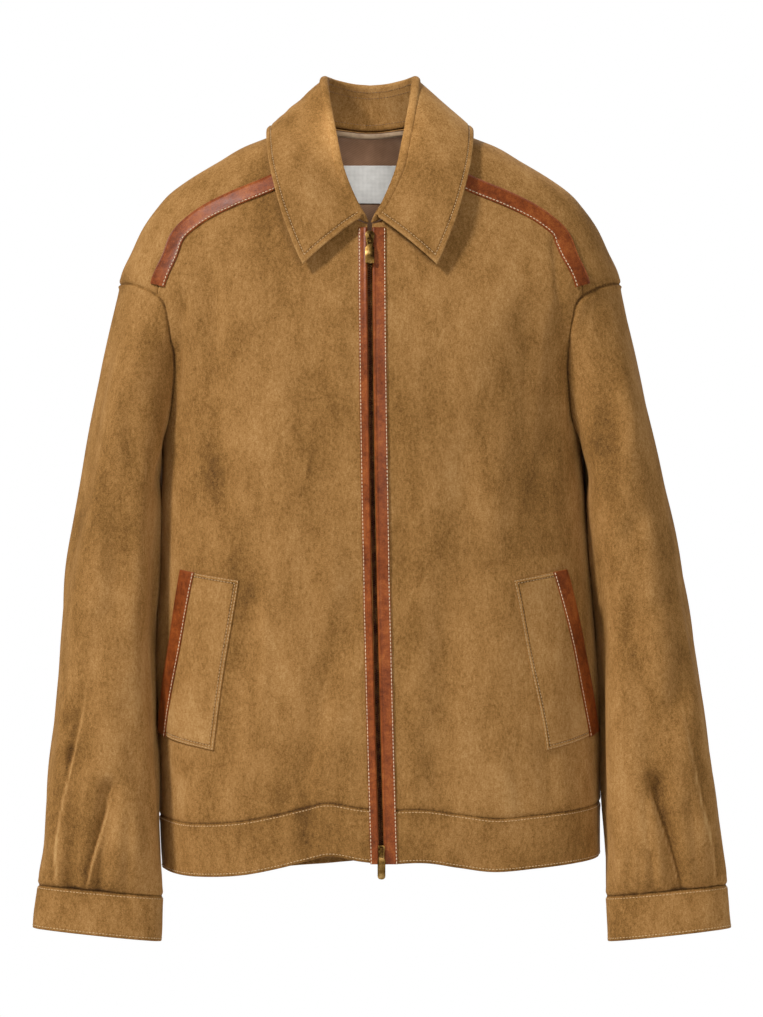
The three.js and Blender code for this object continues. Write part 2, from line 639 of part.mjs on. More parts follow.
function collar() {
  const frontPart = neckLine(2 * RADIAN, NECK_SEAM_AROUND, COUNT.frontNeck);
  const backPart = neckLine(NECK_SEAM_AROUND, Math.PI, COUNT.backNeck);
  const places = [...frontPart, ...backPart.slice(1)];
  const aroundAt = (index) => (index <= COUNT.frontNeck
    ? 2 * RADIAN + ((NECK_SEAM_AROUND - 2 * RADIAN) * index) / COUNT.frontNeck
    : NECK_SEAM_AROUND + ((Math.PI - NECK_SEAM_AROUND) * (index - COUNT.frontNeck)) / COUNT.backNeck);
  const leftHalf = places.map((place, index) => collarSection(place, aroundAt(index), 1));
  const rightHalf = places.map(([angle, z], index) => collarSection([-angle, z], aroundAt(index), -1));
  const sections = [...leftHalf, ...rightHalf.reverse().slice(1)];
  const rows = sections[0].map((_, step) => sections.map((section) => section[step]));
  const normals = gridNormals(rows);
  const shifted = (by) => rows.map((row, r) => row.map((point, c) => point.clone().addScaledVector(normals[r][c], by)));
  return wall('collar', shifted(COLLAR_WALL / 2), shifted(-COLLAR_WALL / 2), SUEDE);
}

// Leather strips

function frontTrim(name, side, width) {
  const low = hemZ(0);
  const edge = FRONT_EDGE + SEAM_GAP;
  const places = Array.from({ length: FRONT_TRIM.along + 1 }, (_, row) => {
    const z = low + ((FRONT_TRIM.topZ - low) * row) / FRONT_TRIM.along;
    return [edge, edge + width / 2, edge + width].map((x) => [side * angleAtX(x, z), z]);
  });
  const ordered = side > 0 ? places : places.map((row) => row.reverse());
  return torsoWall(name, ordered, LIE_GAP + TRIM_WALL, LIE_GAP, LEATHER);
}

// Moves a place on the torso by a distance across a line of places.
function acrossLine(line, index, distance) {
  const [angle, z] = line[index];
  const before = torsoPoint(...line[Math.max(index - 1, 0)]);
  const along = torsoPoint(...line[Math.min(index + 1, line.length - 1)]).sub(before).normalize();
  const normal = torsoNormal(angle, z);
  const aim = normal.clone().cross(along).normalize().multiplyScalar(distance);
  const round = torsoPoint(angle + 0.01, z).sub(torsoPoint(angle - 0.01, z)).divideScalar(0.02);
  const up = torsoPoint(angle, z + 1).sub(torsoPoint(angle, z - 1)).divideScalar(2);
  const rr = round.dot(round);
  const ru = round.dot(up);
  const uu = up.dot(up);
  const scale = rr * uu - ru * ru;
  return [
    angle + (round.dot(aim) * uu - up.dot(aim) * ru) / scale,
    z + (up.dot(aim) * rr - round.dot(aim) * ru) / scale,
  ];
}

function shoulderTrim(name, side) {
  const line = mirrored(evenly(forwardSeam, SHOULDER_TRIM.steps), side).slice(SHOULDER_TRIM.from, SHOULDER_TRIM.to);
  const offsets = [-1, 0, 1].map((share) => (side * share * SHOULDER_TRIM.width) / 2);
  const rows = offsets.map((offset) => line.map((_, index) => acrossLine(line, index, offset)));
  const ordered = side > 0 ? rows : rows.map((row) => row.reverse());
  return torsoWall(name, ordered, LIE_GAP + TRIM_WALL, LIE_GAP, LEATHER);
}

// Pockets

function pocketPlaces(side, from, to, across) {
  const blend = (low, top, share) => [low[0] + (top[0] - low[0]) * share, low[1] + (top[1] - low[1]) * share];
  const inner = (share) => blend(POCKET.innerLow, POCKET.innerTop, share);
  const outer = (share) => blend(POCKET.outerLow, POCKET.outerTop, share);
  const rows = Array.from({ length: POCKET_COUNT.along + 1 }, (_, row) => {
    const share = row / POCKET_COUNT.along;
    return Array.from({ length: across + 1 }, (__, column) => {
      const [angle, z] = blend(inner(share), outer(share), from + ((to - from) * column) / across);
      return [side * angle * RADIAN, z];
    });
  });
  return side > 0 ? rows : rows.map((row) => row.reverse());
}

function pocketWelt(name, side) {
  const places = pocketPlaces(side, 0, 1, POCKET_COUNT.across);
  return torsoWall(name, places, POCKET_GAP + POCKET_WALL, POCKET_GAP, SUEDE);
}

function pocketTrim(name, side) {
  const places = pocketPlaces(side, 1 - POCKET_TRIM_SHARE, 1, 2);
  const low = POCKET_GAP + POCKET_WALL + SEAM_GAP;
  return torsoWall(name, places, low + TRIM_WALL, low, LEATHER);
}

// Inside the neck

function neckLining() {
  const rows = Array.from({ length: LINING.along + 1 }, (_, row) => {
    const share = row / LINING.along;
    return Array.from({ length: LINING.across + 1 }, (__, column) => {
      const turn = (column / LINING.across) * 2 - 1;
      const around = Math.PI + turn * LINING.halfAngle * RADIAN;
      const angle = around > Math.PI ? around - 2 * Math.PI : around;
      const top = neckPlace(angle)[1] - LINING.below;
      return [angle, LINING.bottomZ + (top - LINING.bottomZ) * share];
    });
  });
  const out = -WALL - LINING.behind;
  return torsoWall('neck_lining', rows, out, out - LINING_WALL, SATIN);
}

function neckLabel() {
  const lift = -WALL - LINING.behind - LINING_WALL - 0.5;
  const rows = [0, 0.5, 1].map((share) => [1, 0.5, 0, -0.5, -1].map((turn) => {
    const z = LABEL.bottomZ + (LABEL.topZ - LABEL.bottomZ) * share;
    return [angleAtX((turn * LABEL.width) / 2 || 0.001, z, -1), z];
  }));
  return torsoWall('neck_label', rows, lift, lift - LABEL.thickness, WOVEN_LABEL);
}

// Zip

function loft(name, rings, material) {
  const count = rings[0].length;
  const positions = [];
  for (const ring of rings) for (const point of ring) positions.push(point.x, point.y, point.z);
  const triangles = [];
  for (let row = 0; row < rings.length - 1; row += 1) {
    for (let index = 0; index < count; index += 1) {
      const a = row * count + index;
      const b = row * count + ((index + 1) % count);
      triangles.push(a, b, b + count, a, b + count, a + count);
    }
  }
  const flat = rings[0].map((point) => new THREE.Vector2(point.x, -point.y));
  const cap = THREE.ShapeUtils.triangulateShape(flat, []);
  const last = (rings.length - 1) * count;
  const ringWay = Math.sign(THREE.ShapeUtils.area(flat));
  for (const corners of cap) {
    const capWay = Math.sign(THREE.ShapeUtils.area(corners.map((corner) => flat[corner])));
    const [a, b, c] = capWay === ringWay ? corners : [...corners].reverse();
    triangles.push(c, b, a, last + a, last + b, last + c);
  }
  return meshFrom(name, positions, triangles, material);
}

function zipRing(z, chainTop) {
  const { chainHalfWidth: chain, tapeHalfWidth: tape, tapeTop, tapeBottom } = ZIP;
  const profile = [
    [-tape, tapeBottom], [tape, tapeBottom], [tape, tapeTop], [chain, tapeTop], [chain, chainTop], [-chain, chainTop],
    [-chain, tapeTop], [-tape, tapeTop],
  ];
  const middle = torsoPoint(0, z);
  const normal = torsoNormal(0, z);
  return profile.map(([x, lift]) => {
    const bow = x === 0 ? 0 : torsoPoint(angleAtX(x, z), z).y - middle.y;
    return middle.clone().addScaledVector(normal, lift).add(new THREE.Vector3(x, bow, 0));
  }).reverse();
}

function zip() {
  const chainLow = SLIDER_BOTTOM.z + SLIDER_BOTTOM.halfLength + 0.4;
  const chainHigh = SLIDER_TOP.z - SLIDER_TOP.halfLength - 0.4;
  const rings = [zipRing(ZIP.bottomZ, ZIP.low), zipRing(chainLow - 0.3, ZIP.low)];
  const steps = 24;
  for (let step = 0; step <= steps; step += 1) {
    rings.push(zipRing(chainLow + ((chainHigh - chainLow) * step) / steps, ZIP.chainTop));
  }
  rings.push(zipRing(chainHigh + 0.3, ZIP.low), zipRing(ZIP.topZ, ZIP.low));
  return loft('zip', rings, ZIP_TAPE);
}

const wasm = await Module();
wasm.setup();

function toSolid(geometry) {
  const plain = geometry.clone();
  plain.deleteAttribute('normal');
  plain.deleteAttribute('uv');
  const merged = mergeVertices(plain, 1e-4);
  return new wasm.Manifold(new wasm.Mesh({
    numProp: 3,
    vertProperties: new Float32Array(merged.attributes.position.array),
    triVerts: new Uint32Array(merged.index.array),
  }));
}

function fromSolid(name, solid, material) {
  const { vertProperties, triVerts } = solid.getMesh();
  return meshFrom(name, [...vertProperties], [...triVerts], material);
}

// A flat shape in x and height, given thickness outwards from one lift to another.
function plate(shape, liftFrom, liftTo) {
  const geometry = new THREE.ExtrudeGeometry(shape, { depth: liftTo - liftFrom, bevelEnabled: false, curveSegments: 4 });
  return geometry.rotateX(Math.PI / 2).translate(0, -liftFrom, 0);
}

function sliderFrame(settings) {
  const frame = new THREE.Group();
  frame.position.copy(torsoPoint(0, settings.z));
  const normal = torsoNormal(0, settings.z);
  if (settings.tilt) frame.rotation.x = Math.atan2(-normal.z, -normal.y);
  return frame;
}

function shield({ halfWidth, halfLength }) {
  const shape = new THREE.Shape();
  shape.moveTo(-halfWidth * 0.55, -halfLength);
  shape.lineTo(halfWidth * 0.55, -halfLength);
  shape.lineTo(halfWidth * 0.8, -halfLength * 0.2);
  shape.quadraticCurveTo(halfWidth, halfLength * 0.35, halfWidth, halfLength * 0.6);
  shape.quadraticCurveTo(halfWidth * 0.9, halfLength, 0, halfLength);
  shape.quadraticCurveTo(-halfWidth * 0.9, halfLength, -halfWidth, halfLength * 0.6);
  shape.quadraticCurveTo(-halfWidth, halfLength * 0.35, -halfWidth * 0.8, -halfLength * 0.2);
  shape.closePath();
  return shape;
}

function rectangle(left, low, right, high) {
  return new THREE.Shape([
    new THREE.Vector2(left, low), new THREE.Vector2(right, low), new THREE.Vector2(right, high),
    new THREE.Vector2(left, high),
  ]);
}

function bridge() {
  const { halfLength, wall: thick, height, width } = BRIDGE;
  const shape = new THREE.Shape();
  const foot = SLIDER.plateFront - 0.3;
  const top = SLIDER.plateFront + height;
  shape.moveTo(foot, -halfLength);
  shape.lineTo(top - 1, -halfLength);
  shape.lineTo(top, 1 - halfLength);
  shape.lineTo(top, halfLength - 1);
  shape.lineTo(top - 1, halfLength);
  shape.lineTo(foot, halfLength);
  shape.lineTo(foot, halfLength - thick);
  shape.lineTo(top - thick, halfLength - thick);
  shape.lineTo(top - thick, thick - halfLength);
  shape.lineTo(foot, thick - halfLength);
  shape.closePath();
  const geometry = new THREE.ExtrudeGeometry(shape, { depth: width, bevelEnabled: false });
  geometry.translate(0, 0, -width / 2);
  return geometry.applyMatrix4(new THREE.Matrix4().makeBasis(
    new THREE.Vector3(0, -1, 0), new THREE.Vector3(0, 0, 1), new THREE.Vector3(-1, 0, 0),
  ));
}

function slider(name, settings) {
  const frame = sliderFrame(settings);
  const { stemHalfWidth: stem, stemBack, plateBack, plateFront } = SLIDER;
  const stemShape = rectangle(-stem, -settings.halfLength + 0.6, stem, settings.halfLength - 0.6);
  const solid = toSolid(plate(shield(settings), plateBack, plateFront))
    .add(toSolid(plate(stemShape, stemBack, plateBack + 0.4)))
    .add(toSolid(bridge()));
  frame.add(fromSolid(name, solid, BRASS));
  return frame;
}

function pullTab(name, settings, { width, length, neck, round }) {
  const frame = sliderFrame(settings);
  const { barHalf, slotHalfWidth, neckHalfWidth, slotLength, thickness, pivotOut } = PULL;
  const half = width / 2;
  const shape = new THREE.Shape();
  shape.moveTo(-neckHalfWidth, barHalf);
  shape.lineTo(-neckHalfWidth, 1 - neck);
  shape.lineTo(-half, -neck - 1);
  shape.lineTo(-half, round - length);
  shape.quadraticCurveTo(-half, -length, round - half, -length);
  shape.lineTo(half - round, -length);
  shape.quadraticCurveTo(half, -length, half, round - length);
  shape.lineTo(half, -neck - 1);
  shape.lineTo(neckHalfWidth, 1 - neck);
  shape.lineTo(neckHalfWidth, barHalf);
  shape.closePath();
  const slot = new THREE.Path([
    new THREE.Vector2(-slotHalfWidth, -barHalf), new THREE.Vector2(-slotHalfWidth, -barHalf - slotLength),
    new THREE.Vector2(slotHalfWidth, -barHalf - slotLength), new THREE.Vector2(slotHalfWidth, -barHalf),
  ]);
  shape.holes.push(slot);
  const geometry = plate(shape, pivotOut - thickness / 2, pivotOut + thickness / 2);
  const mesh = new THREE.Mesh(geometry, BRASS);
  mesh.name = name;
  frame.add(mesh);
  return frame;
}

const jacket = new THREE.Group();
jacket.add(front('front_left', 1), front('front_right', -1), back(), hemBand());
jacket.add(sleeve('sleeve_left', 1), sleeve('sleeve_right', -1), cuff('cuff_left', 1), cuff('cuff_right', -1));
jacket.add(collar(), neckLining(), neckLabel());
jacket.add(frontTrim('front_trim_left', 1, FRONT_TRIM.left));
jacket.add(frontTrim('front_trim_right', -1, FRONT_TRIM.right));
jacket.add(shoulderTrim('shoulder_trim_left', 1), shoulderTrim('shoulder_trim_right', -1));
jacket.add(pocketWelt('pocket_welt_left', 1), pocketWelt('pocket_welt_right', -1));
jacket.add(pocketTrim('pocket_trim_left', 1), pocketTrim('pocket_trim_right', -1));
jacket.add(zip(), slider('zip_slider_top', SLIDER_TOP), slider('zip_slider_bottom', SLIDER_BOTTOM));
jacket.add(pullTab('zip_pull_top', SLIDER_TOP, PULL_TOP), pullTab('zip_pull_bottom', SLIDER_BOTTOM, PULL_BOTTOM));

export default jacket;
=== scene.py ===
# Suede zip jacket, filled out as if worn, with nobody in it.
# Tables and sizes are in millimetres and meshes in metres.
# +Z is up, the front faces -Y and +X is the wearer's left.

import math

import bmesh
import bpy
import numpy as np
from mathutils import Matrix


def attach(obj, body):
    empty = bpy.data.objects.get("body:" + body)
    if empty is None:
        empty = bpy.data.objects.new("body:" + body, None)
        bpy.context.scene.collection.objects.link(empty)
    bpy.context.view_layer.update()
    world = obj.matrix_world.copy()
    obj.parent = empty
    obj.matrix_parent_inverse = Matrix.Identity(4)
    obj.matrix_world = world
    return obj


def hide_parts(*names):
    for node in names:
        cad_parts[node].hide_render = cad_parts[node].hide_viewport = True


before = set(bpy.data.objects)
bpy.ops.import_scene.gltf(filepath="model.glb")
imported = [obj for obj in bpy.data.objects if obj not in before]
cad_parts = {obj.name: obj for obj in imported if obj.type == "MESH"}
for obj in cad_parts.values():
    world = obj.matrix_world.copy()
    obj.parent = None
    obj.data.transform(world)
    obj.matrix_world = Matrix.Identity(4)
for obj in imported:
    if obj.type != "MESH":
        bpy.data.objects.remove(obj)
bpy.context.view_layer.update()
mm = 0.001
rad = math.pi / 180
quarter = math.pi / 2

seams = {
    "wall": 2.0,          # suede with its backing
    "sleeveWall": 1.8,
    "collarWall": 2.4,
    "gap": 0.1,           # between the two pieces at a seam
    "dip": 0.85,          # how far a seam pulls the cloth down
    "dipWidth": 1.5,
    "ridge": 0.35,        # the turned edge inside lifts the cloth beside the seam
    "ridgeAt": 4.2,
    "ridgeWidth": 2.2,
    "step": 3.0,      # size of a face on the large panels
}
near = np.array([0, 0.35, 0.8, 1.5, 2.6, 4.0, 6.0, 8.5])      # rows beside an edge, by distance from it


def table(columns, rows):
    names = columns.split()
    return {name: np.array([row[index] for row in rows], float) for index, name in enumerate(names)}


# Torso rings from the hem up: half width, depth to the front and back, and how square the ring is
torso = table("z halfWidth front back power", [
    (-700, 197, 104, 102, 2.6),
    (-660, 198, 106, 104, 2.6),
    (-600, 198.5, 110, 107, 2.6),
    (-540, 199, 113, 109, 2.6),
    (-495, 198.5, 115, 111, 2.55),
    (-450, 196.5, 117, 113, 2.5),
    (-396, 194, 119, 115, 2.45),
    (-342, 191.5, 121, 118, 2.4),
    (-285, 189, 121, 120, 2.35),
    (-235, 192, 119, 120, 2.35),
    (-200, 199, 117, 118, 2.35),
    (-165, 216, 112, 114, 2.4),
    (-139, 224.5, 106, 110, 2.35),
    (-108, 213, 97, 105, 2.3),
    (-86, 202.5, 89.5, 99, 2.25),
    (-72, 192.6, 84, 94, 2.25),
    (-57.6, 180, 79, 88, 2.2),
    (-43, 159.8, 73, 82, 2.2),
    (-28.8, 136, 67, 75, 2.2),
    (-14.4, 111, 60, 67, 2.1),
    (-7, 92, 56, 63, 2.1),
    (0, 76, 52, 58.5, 2.1),
    (6, 62, 48, 54, 2.1),
    (12, 46, 40, 46, 2.1),
])

# Height of the hem round the body, by the angle from the centre front
hem = table("angle z", [
    (-180, -660), (-150, -665), (-125, -669), (-100, -664), (-83, -664), (-67, -669), (-54, -667),
    (-41, -659.5), (-24.5, -650), (-10, -654), (0, -656), (22, -656), (34, -660), (46, -664),
    (58, -661), (72, -656), (85, -652), (105, -655), (130, -665), (155, -662), (180, -660),
])
hemBandHeight = 48
frontEdge = 2              # from the centre line to the edge of each front
neck = {"halfWidth": 62, "front": 90, "back": 58, "seamAround": 46.5 * rad}
armholeFront = [(190, -150.5), (184.5, -157), (180.5, -174), (179, -200), (180, -235), (183.5, -266)]
armholeBack = [(208, -143), (197, -153), (187, -178), (179, -205), (173, -238), (175, -268)]
overShoulderLine = [(208, -141.5), (198, -146)]
armholeTop = -139
underarm = -288
forwardSeamLine = [(88, -51), (122, -65), (154, -82), (170.5, -97), (179, -118)]

# Soft folds, each a trough from one place to another in front view: positive depth is in, negative is out
torsoFolds = table("x1 z1 x2 z2 width depth face", [
    (-146, -150, -136, -330, 20, 5, 1),
    (-118, -410, -141, -560, 18, 4, 1),
    (-18, -410, -84, -590, 26, 3.5, 1),
    (-66, -606, -66, -655, 12, 4, 1),
    (142, -180, 150, -370, 22, 4, 1),
    (84, -300, 60, -470, 26, 3, 1),
    (-105, -190, -75, -420, 28, 5, -1),
    (96, -230, 118, -470, 28, 5, -1),
    (20, -420, -30, -600, 30, 4, -1),
])
torsoCreases = table("x1 z1 x2 z2 width depth face", [
    (-168, -160, -150, -250, 7, 2.2, 1),
    (-158, -160, -138, -270, 9, -1.6, 1),
    (-176, -200, -166, -300, 6, 2.0, 1),
    (168, -170, 158, -290, 8, 2.0, 1),
    (158, -175, 146, -300, 9, -1.4, 1),
    (-104, -400, -112, -545, 6, 1.8, 1),
    (-96, -410, -104, -520, 8, -1.2, 1),
    (-150, -590, -120, -640, 8, 1.4, 1),
    (-60, -560, -92, -612, 7, 1.3, 1),
    (40, -540, 62, -612, 9, 1.2, 1),
    (118, -560, 128, -614, 7, 1.6, 1),
    (150, -560, 154, -614, 7, 1.5, 1),
    (96, -100, 60, -210, 16, 1.2, 1),
    (-88, -105, -60, -230, 16, 1.2, 1),
    (30, -240, 24, -400, 18, 1.3, 1),
    (-34, -250, -40, -390, 18, 1.2, 1),
    (-160, -180, -128, -330, 9, 2.6, -1),
    (-150, -200, -112, -350, 11, -1.8, -1),
    (164, -180, 134, -330, 9, 2.4, -1),
    (152, -200, 118, -360, 11, -1.8, -1),
    (-40, -130, 36, -118, 12, 1.4, -1),
    (-70, -540, -96, -612, 10, 1.8, -1),
    (52, -500, 74, -612, 10, 2.0, -1),
    (-10, -560, -4, -612, 8, 1.5, -1),
    (-147, -128, -139, -340, 8, 2.6, 1),
    (-169, -152, -181, -262, 5, 3.0, 1),
    (166, -104, 182, -262, 5, 3.0, 1),
    (-112, -414, -131, -560, 7, 2.4, 1),
    (-16, -412, -74, -590, 12, 2.2, 1),
    (-62, -560, -70, -640, 8, 2.4, 1),
    (70, -400, 52, -600, 16, 2.0, 1),
    (128, -300, 120, -390, 12, 1.6, 1),
    (120, -560, 132, -612, 8, 1.6, -1),
])

# Sleeve rings from the armhole down, in front view; share is how much of the ring's own shape it has
sleeveRings = table("outerX outerZ innerX innerZ middleY halfDepth share hugLeft hugRight hugBack", [
    (228, -152, 192, -291, 2, 78, 0.22, 6, 8, 2),
    (232.3, -172, 194, -297, 2, 81, 0.5, 8, 10, 5),
    (238.8, -203, 193.5, -305, 1, 83, 0.78, 8, 10, 9),
    (247.5, -243, 193.5, -318, 0, 84, 0.94, 4, 7, 12),
    (256.3, -287, 190.5, -338, -2, 83, 1, 0, 5, 14),
    (265.5, -335, 192, -366, -6, 80, 1, -1, 4, 15),
    (275, -390, 196, -406, -12, 76, 1, -1, 3, 15),
    (283.7, -445, 202, -452, -19, 71, 1, 0, 1, 14),
    (290.5, -500, 203.5, -505, -26, 66, 1, 1, 1, 12),
    (297.2, -555, 204, -558, -33, 61, 1, 1, 1, 10),
    (303.2, -607, 203.5, -611, -38, 54, 1, 1, 1, 7),
    (307.2, -648, 202.5, -655, -41, 45, 1, 1, 1, 4),
    (308.8, -668, 201, -677, -43, 36, 1, 0, 0, 2),
])
cuffRings = table("outerX outerZ innerX innerZ middleY halfDepth share hugLeft hugRight hugBack", [
    (308.4, -677, 200.6, -687, -43, 30.2, 1, 0, 0, 0),
    (310.6, -696, 201, -707, -43.5, 30, 1, 0, 0, 0),
    (312.2, -715.5, 202, -727.5, -44, 29, 1, 0, 0, 0),
])
hug = {"front": 128 * rad, "back": 232 * rad, "spread": 34 * rad}
sleevePower = 2.25
sleeveHang = {      # how the sleeves lie against the body
    "from": -400, "over": 80,      # the height where they start to lean in, and how far down it takes
    "left": 2.8, "right": 4.5, "rightOuter": 3.6,
    "cuff": -690, "fade": 50,      # back in line with the cuff
    "restBelow": -330, "clear": 1.0,
}
sleeveFolds = table("x1 z1 x2 z2 width depth face side", [
    (244, -440, 272, -560, 13, 5, 1, -1),
    (272, -560, 278, -680, 8, 8, 1, -1),
    (240, -590, 254, -680, 8, 7, 1, -1),
    (214, -250, 226, -400, 16, 4, 1, -1),
    (226, -440, 246, -585, 14, 6, 1, 1),
    (246, -585, 264, -683, 8, 9, 1, 1),
    (297, -640, 298, -680, 7, 6, 1, 1),
    (205, -170, 214, -330, 14, 6, 1, 1),
    (236, -430, 262, -600, 16, 6, -1, -1),
    (262, -600, 270, -683, 9, 8, -1, -1),
    (230, -470, 256, -610, 16, 6, -1, 1),
    (256, -610, 262, -683, 9, 8, -1, 1),
])
sleeveCreases = table("x1 z1 x2 z2 width depth face side", [
    (226, -180, 214, -300, 8, 2.2, 1, -1),
    (236, -190, 226, -290, 9, -1.8, 1, -1),
    (252, -330, 218, -372, 9, 1.9, 1, -1),
    (262, -400, 232, -430, 9, 1.6, 1, -1),
    (284, -470, 252, -492, 10, 1.8, 1, -1),
    (222, -520, 214, -600, 8, 1.8, 1, -1),
    (224, -620, 228, -680, 5, 2.0, 1, -1),
    (222, -180, 208, -290, 9, 2.0, 1, 1),
    (240, -220, 226, -330, 10, -1.6, 1, 1),
    (250, -340, 216, -376, 9, 1.8, 1, 1),
    (262, -420, 226, -452, 9, 1.7, 1, 1),
    (280, -500, 256, -520, 10, 1.6, 1, 1),
    (236, -600, 240, -682, 5, 2.2, 1, 1),
    (222, -630, 224, -682, 4, 1.8, 1, 1),
    (276, -600, 283, -682, 6, 2.0, 1, 1),
    (262, -330, 282, -520, 15, 5.0, 1, -1),
    (238, -300, 226, -470, 13, 4.4, 1, -1),
    (280, -480, 262, -560, 12, 3.4, 1, -1),
    (276, -470, 256, -550, 12, 3.4, 1, 1),
    (220, -652, 219, -681, 2.6, 1.8, 1, 1),
    (230, -650, 229.5, -681, 2.6, 1.9, 1, 1),
    (241, -648, 243, -681, 2.6, 1.7, 1, 1),
    (258, -320, 276, -500, 15, 5.0, 1, 1),
    (236, -300, 226, -450, 13, 4.4, 1, 1),
    (240, -300, 210, -330, 10, 2.4, -1, -1),
    (252, -360, 216, -385, 10, 2.6, -1, -1),
    (262, -420, 222, -446, 10, 2.2, -1, -1),
    (242, -300, 210, -334, 10, 2.2, -1, 1),
    (254, -372, 218, -398, 10, 2.6, -1, 1),
    (264, -436, 224, -462, 10, 2.0, -1, 1),
])

# Pleats folded into the cuff seam: the edge of each fold in front view, from its top down to the cuff.
# The cloth on the outer side of the edge lies deeper, and comes up again over the reach.
sleevePleats = [
    {"side": -1, "depth": 4.6, "reach": 11,
     "x": (237, 243.9, 259.1, 263.9), "z": (-580, -611, -659, -681)},
    {"side": -1, "depth": 3.4, "reach": 9,
     "x": (254, 264.8, 273.4, 282.2, 290.4, 292.5), "z": (-470, -531, -565, -600, -642, -681)},
    {"side": 1, "depth": 4.6, "reach": 11,
     "x": (233, 243, 258, 265.5), "z": (-566, -600, -650, -681)},
    {"side": 1, "depth": 3.4, "reach": 8,
     "x": (268, 276, 286, 294, 298.8), "z": (-500, -550, -600, -640, -681)},
]
pleatLook = {
    "fadeIn": 0.45,            # the share of its length over which a pleat comes up
    "held": 14,                # over this length the cuff seam flattens it
    "edge": 1.1,               # how sharply the fold turns
    "swell": 0.25, "swellAt": 3, "swellWidth": 3,      # the cloth swells just inside the edge
    "worn": 0.9, "wornAt": 0.6,                        # painted highlight along the edge of the fold
    "shade": 0.13,             # and painted shade beside it, for each millimetre of depth
}

# Collar from the centre front round to the centre back, by the angle round the neck
collarLine = table("angle rollX rollY rollZ edgeX edgeY edgeZ rollRadius bulge", [
    (0, 5.2, -96, -82, 58.5, -110, -126, 1.7, 4),
    (14, 15, -88, -66, 65, -107.5, -113, 2.4, 4),
    (30, 27.5, -73, -36, 77, -98, -82, 3.2, 5),
    (45, 33.5, -56, -8, 84.5, -85, -56, 3.4, 5.5),
    (60, 38, -36, 17, 90, -66, -32, 3.4, 3),
    (75, 41, -18, 36, 92.5, -41, -12, 3.4, 1),
    (90, 42.2, 0, 46, 92.5, -12, -1, 3.4, 0),
    (110, 40, 20, 47.5, 89, 32, -2, 3.4, 1),
    (135, 31, 39, 45.5, 70, 73, -10, 4, 2),
    (160, 14.5, 50, 42.5, 32, 91, -15, 4.5, 3),
    (180, 0, 53, 41.5, 0, 95, -16, 4.5, 3),
])
collarRaise = 1.1


def slopesAt(keys, values):
    rise = np.diff(values, axis=0)
    step = np.diff(keys).reshape((-1,) + (1,) * (np.ndim(values) - 1))
    slope = rise / step
    inner = (slope[:-1] * step[1:] + slope[1:] * step[:-1]) / (step[:-1] + step[1:])
    return np.concatenate([slope[:1], inner, slope[-1:]])


def smoothAt(keys, values, key):      # a smooth curve through the rows of a table
    values = np.asarray(values, float)
    slopes = slopesAt(keys, values)
    key = np.clip(key, keys[0], keys[-1])
    index = np.clip(np.searchsorted(keys, key) - 1, 0, len(keys) - 2)
    span = keys[index + 1] - keys[index]
    t = (key - keys[index]) / span
    extra = (1,) * (values.ndim - 1)
    t, span = t.reshape(t.shape + extra), span.reshape(span.shape + extra)
    return (values[index] * (2 * t**3 - 3 * t**2 + 1) + values[index + 1] * (3 * t**2 - 2 * t**3)
            + slopes[index] * span * (t**3 - 2 * t**2 + t) + slopes[index + 1] * span * (t**3 - t**2))


def unit(vectors):
    return vectors / np.maximum(np.linalg.norm(vectors, axis=-1, keepdims=True), 1e-9)


def sway(z):      # the jacket hangs a little to the wearer's left towards the hem
    return 10.8 * np.clip((-z - 100) / 560, 0, 1) ** 1.6


def foldDepth(folds, x, z, face, side=0):
    depth = np.zeros(np.broadcast(x, z).shape)
    for row in range(len(folds["x1"])):
        if side and folds["side"][row] != side:
            continue
        x1, z1 = folds["x1"][row], folds["z1"][row]
        dx, dz = folds["x2"][row] - x1, folds["z2"][row] - z1
        along = np.clip(((x - x1) * dx + (z - z1) * dz) / (dx * dx + dz * dz), 0, 1)
        away = np.hypot(x - x1 - along * dx, z - z1 - along * dz)
        trough = folds["depth"][row] * np.exp(-(away / folds["width"][row]) ** 2)
        depth += np.where(face == folds["face"][row], trough, 0)
    return depth


def pleatDepth(x, z, side, fromCuff):      # the depth of the pleats, and their painted highlight and shade
    look = pleatLook
    depth, paintedShading = np.zeros(x.shape), np.zeros(x.shape)
    for pleat in sleevePleats:
        if pleat["side"] == side:
            beyond = x - np.interp(z, pleat["z"][::-1], pleat["x"][::-1])
            top, low = pleat["z"][0], pleat["z"][-1]
            fade = np.clip((top - z) / (look["fadeIn"] * (top - low)), 0, 1)
            fade = fade * np.clip(fromCuff / look["held"], 0.3, 1)
            step = (1 + np.tanh(beyond / look["edge"])) / 2 * np.exp(-np.maximum(beyond, 0) / pleat["reach"])
            swell = look["swell"] * np.exp(-((beyond + look["swellAt"]) / look["swellWidth"]) ** 2)
            worn = look["worn"] * np.exp(-((beyond + look["wornAt"]) / look["edge"]) ** 2)
            depth += pleat["depth"] * fade * (step - swell)
            paintedShading += fade * (worn - look["shade"] * pleat["depth"] * step)
    return depth, paintedShading


def uneven(across, up, seed, waves=16, longest=150, shortest=34, height=1.0):      # soft waves of hung cloth
    draws = np.random.default_rng(seed)
    total = np.zeros(np.broadcast(across, up).shape)
    for _ in range(waves):
        length = longest * (shortest / longest) ** draws.random()
        turn = draws.normal(0, 0.6)
        phase = draws.random() * 2 * math.pi
        run = (across * math.cos(turn) + up * math.sin(turn)) / length
        total += length / longest * np.sin(2 * math.pi * run + phase)
    return height * total / math.sqrt(waves)


def torsoRadius(angle, z):
    power, halfWidth, front, back = (smoothAt(torso["z"], torso[name], z)
                                     for name in ("power", "halfWidth", "front", "back"))
    depth = np.where(np.cos(angle) > 0, front, back)
    across = np.abs(np.sin(angle)) / halfWidth
    along = np.abs(np.cos(angle)) / depth
    return (across**power + along**power) ** (-1 / power)


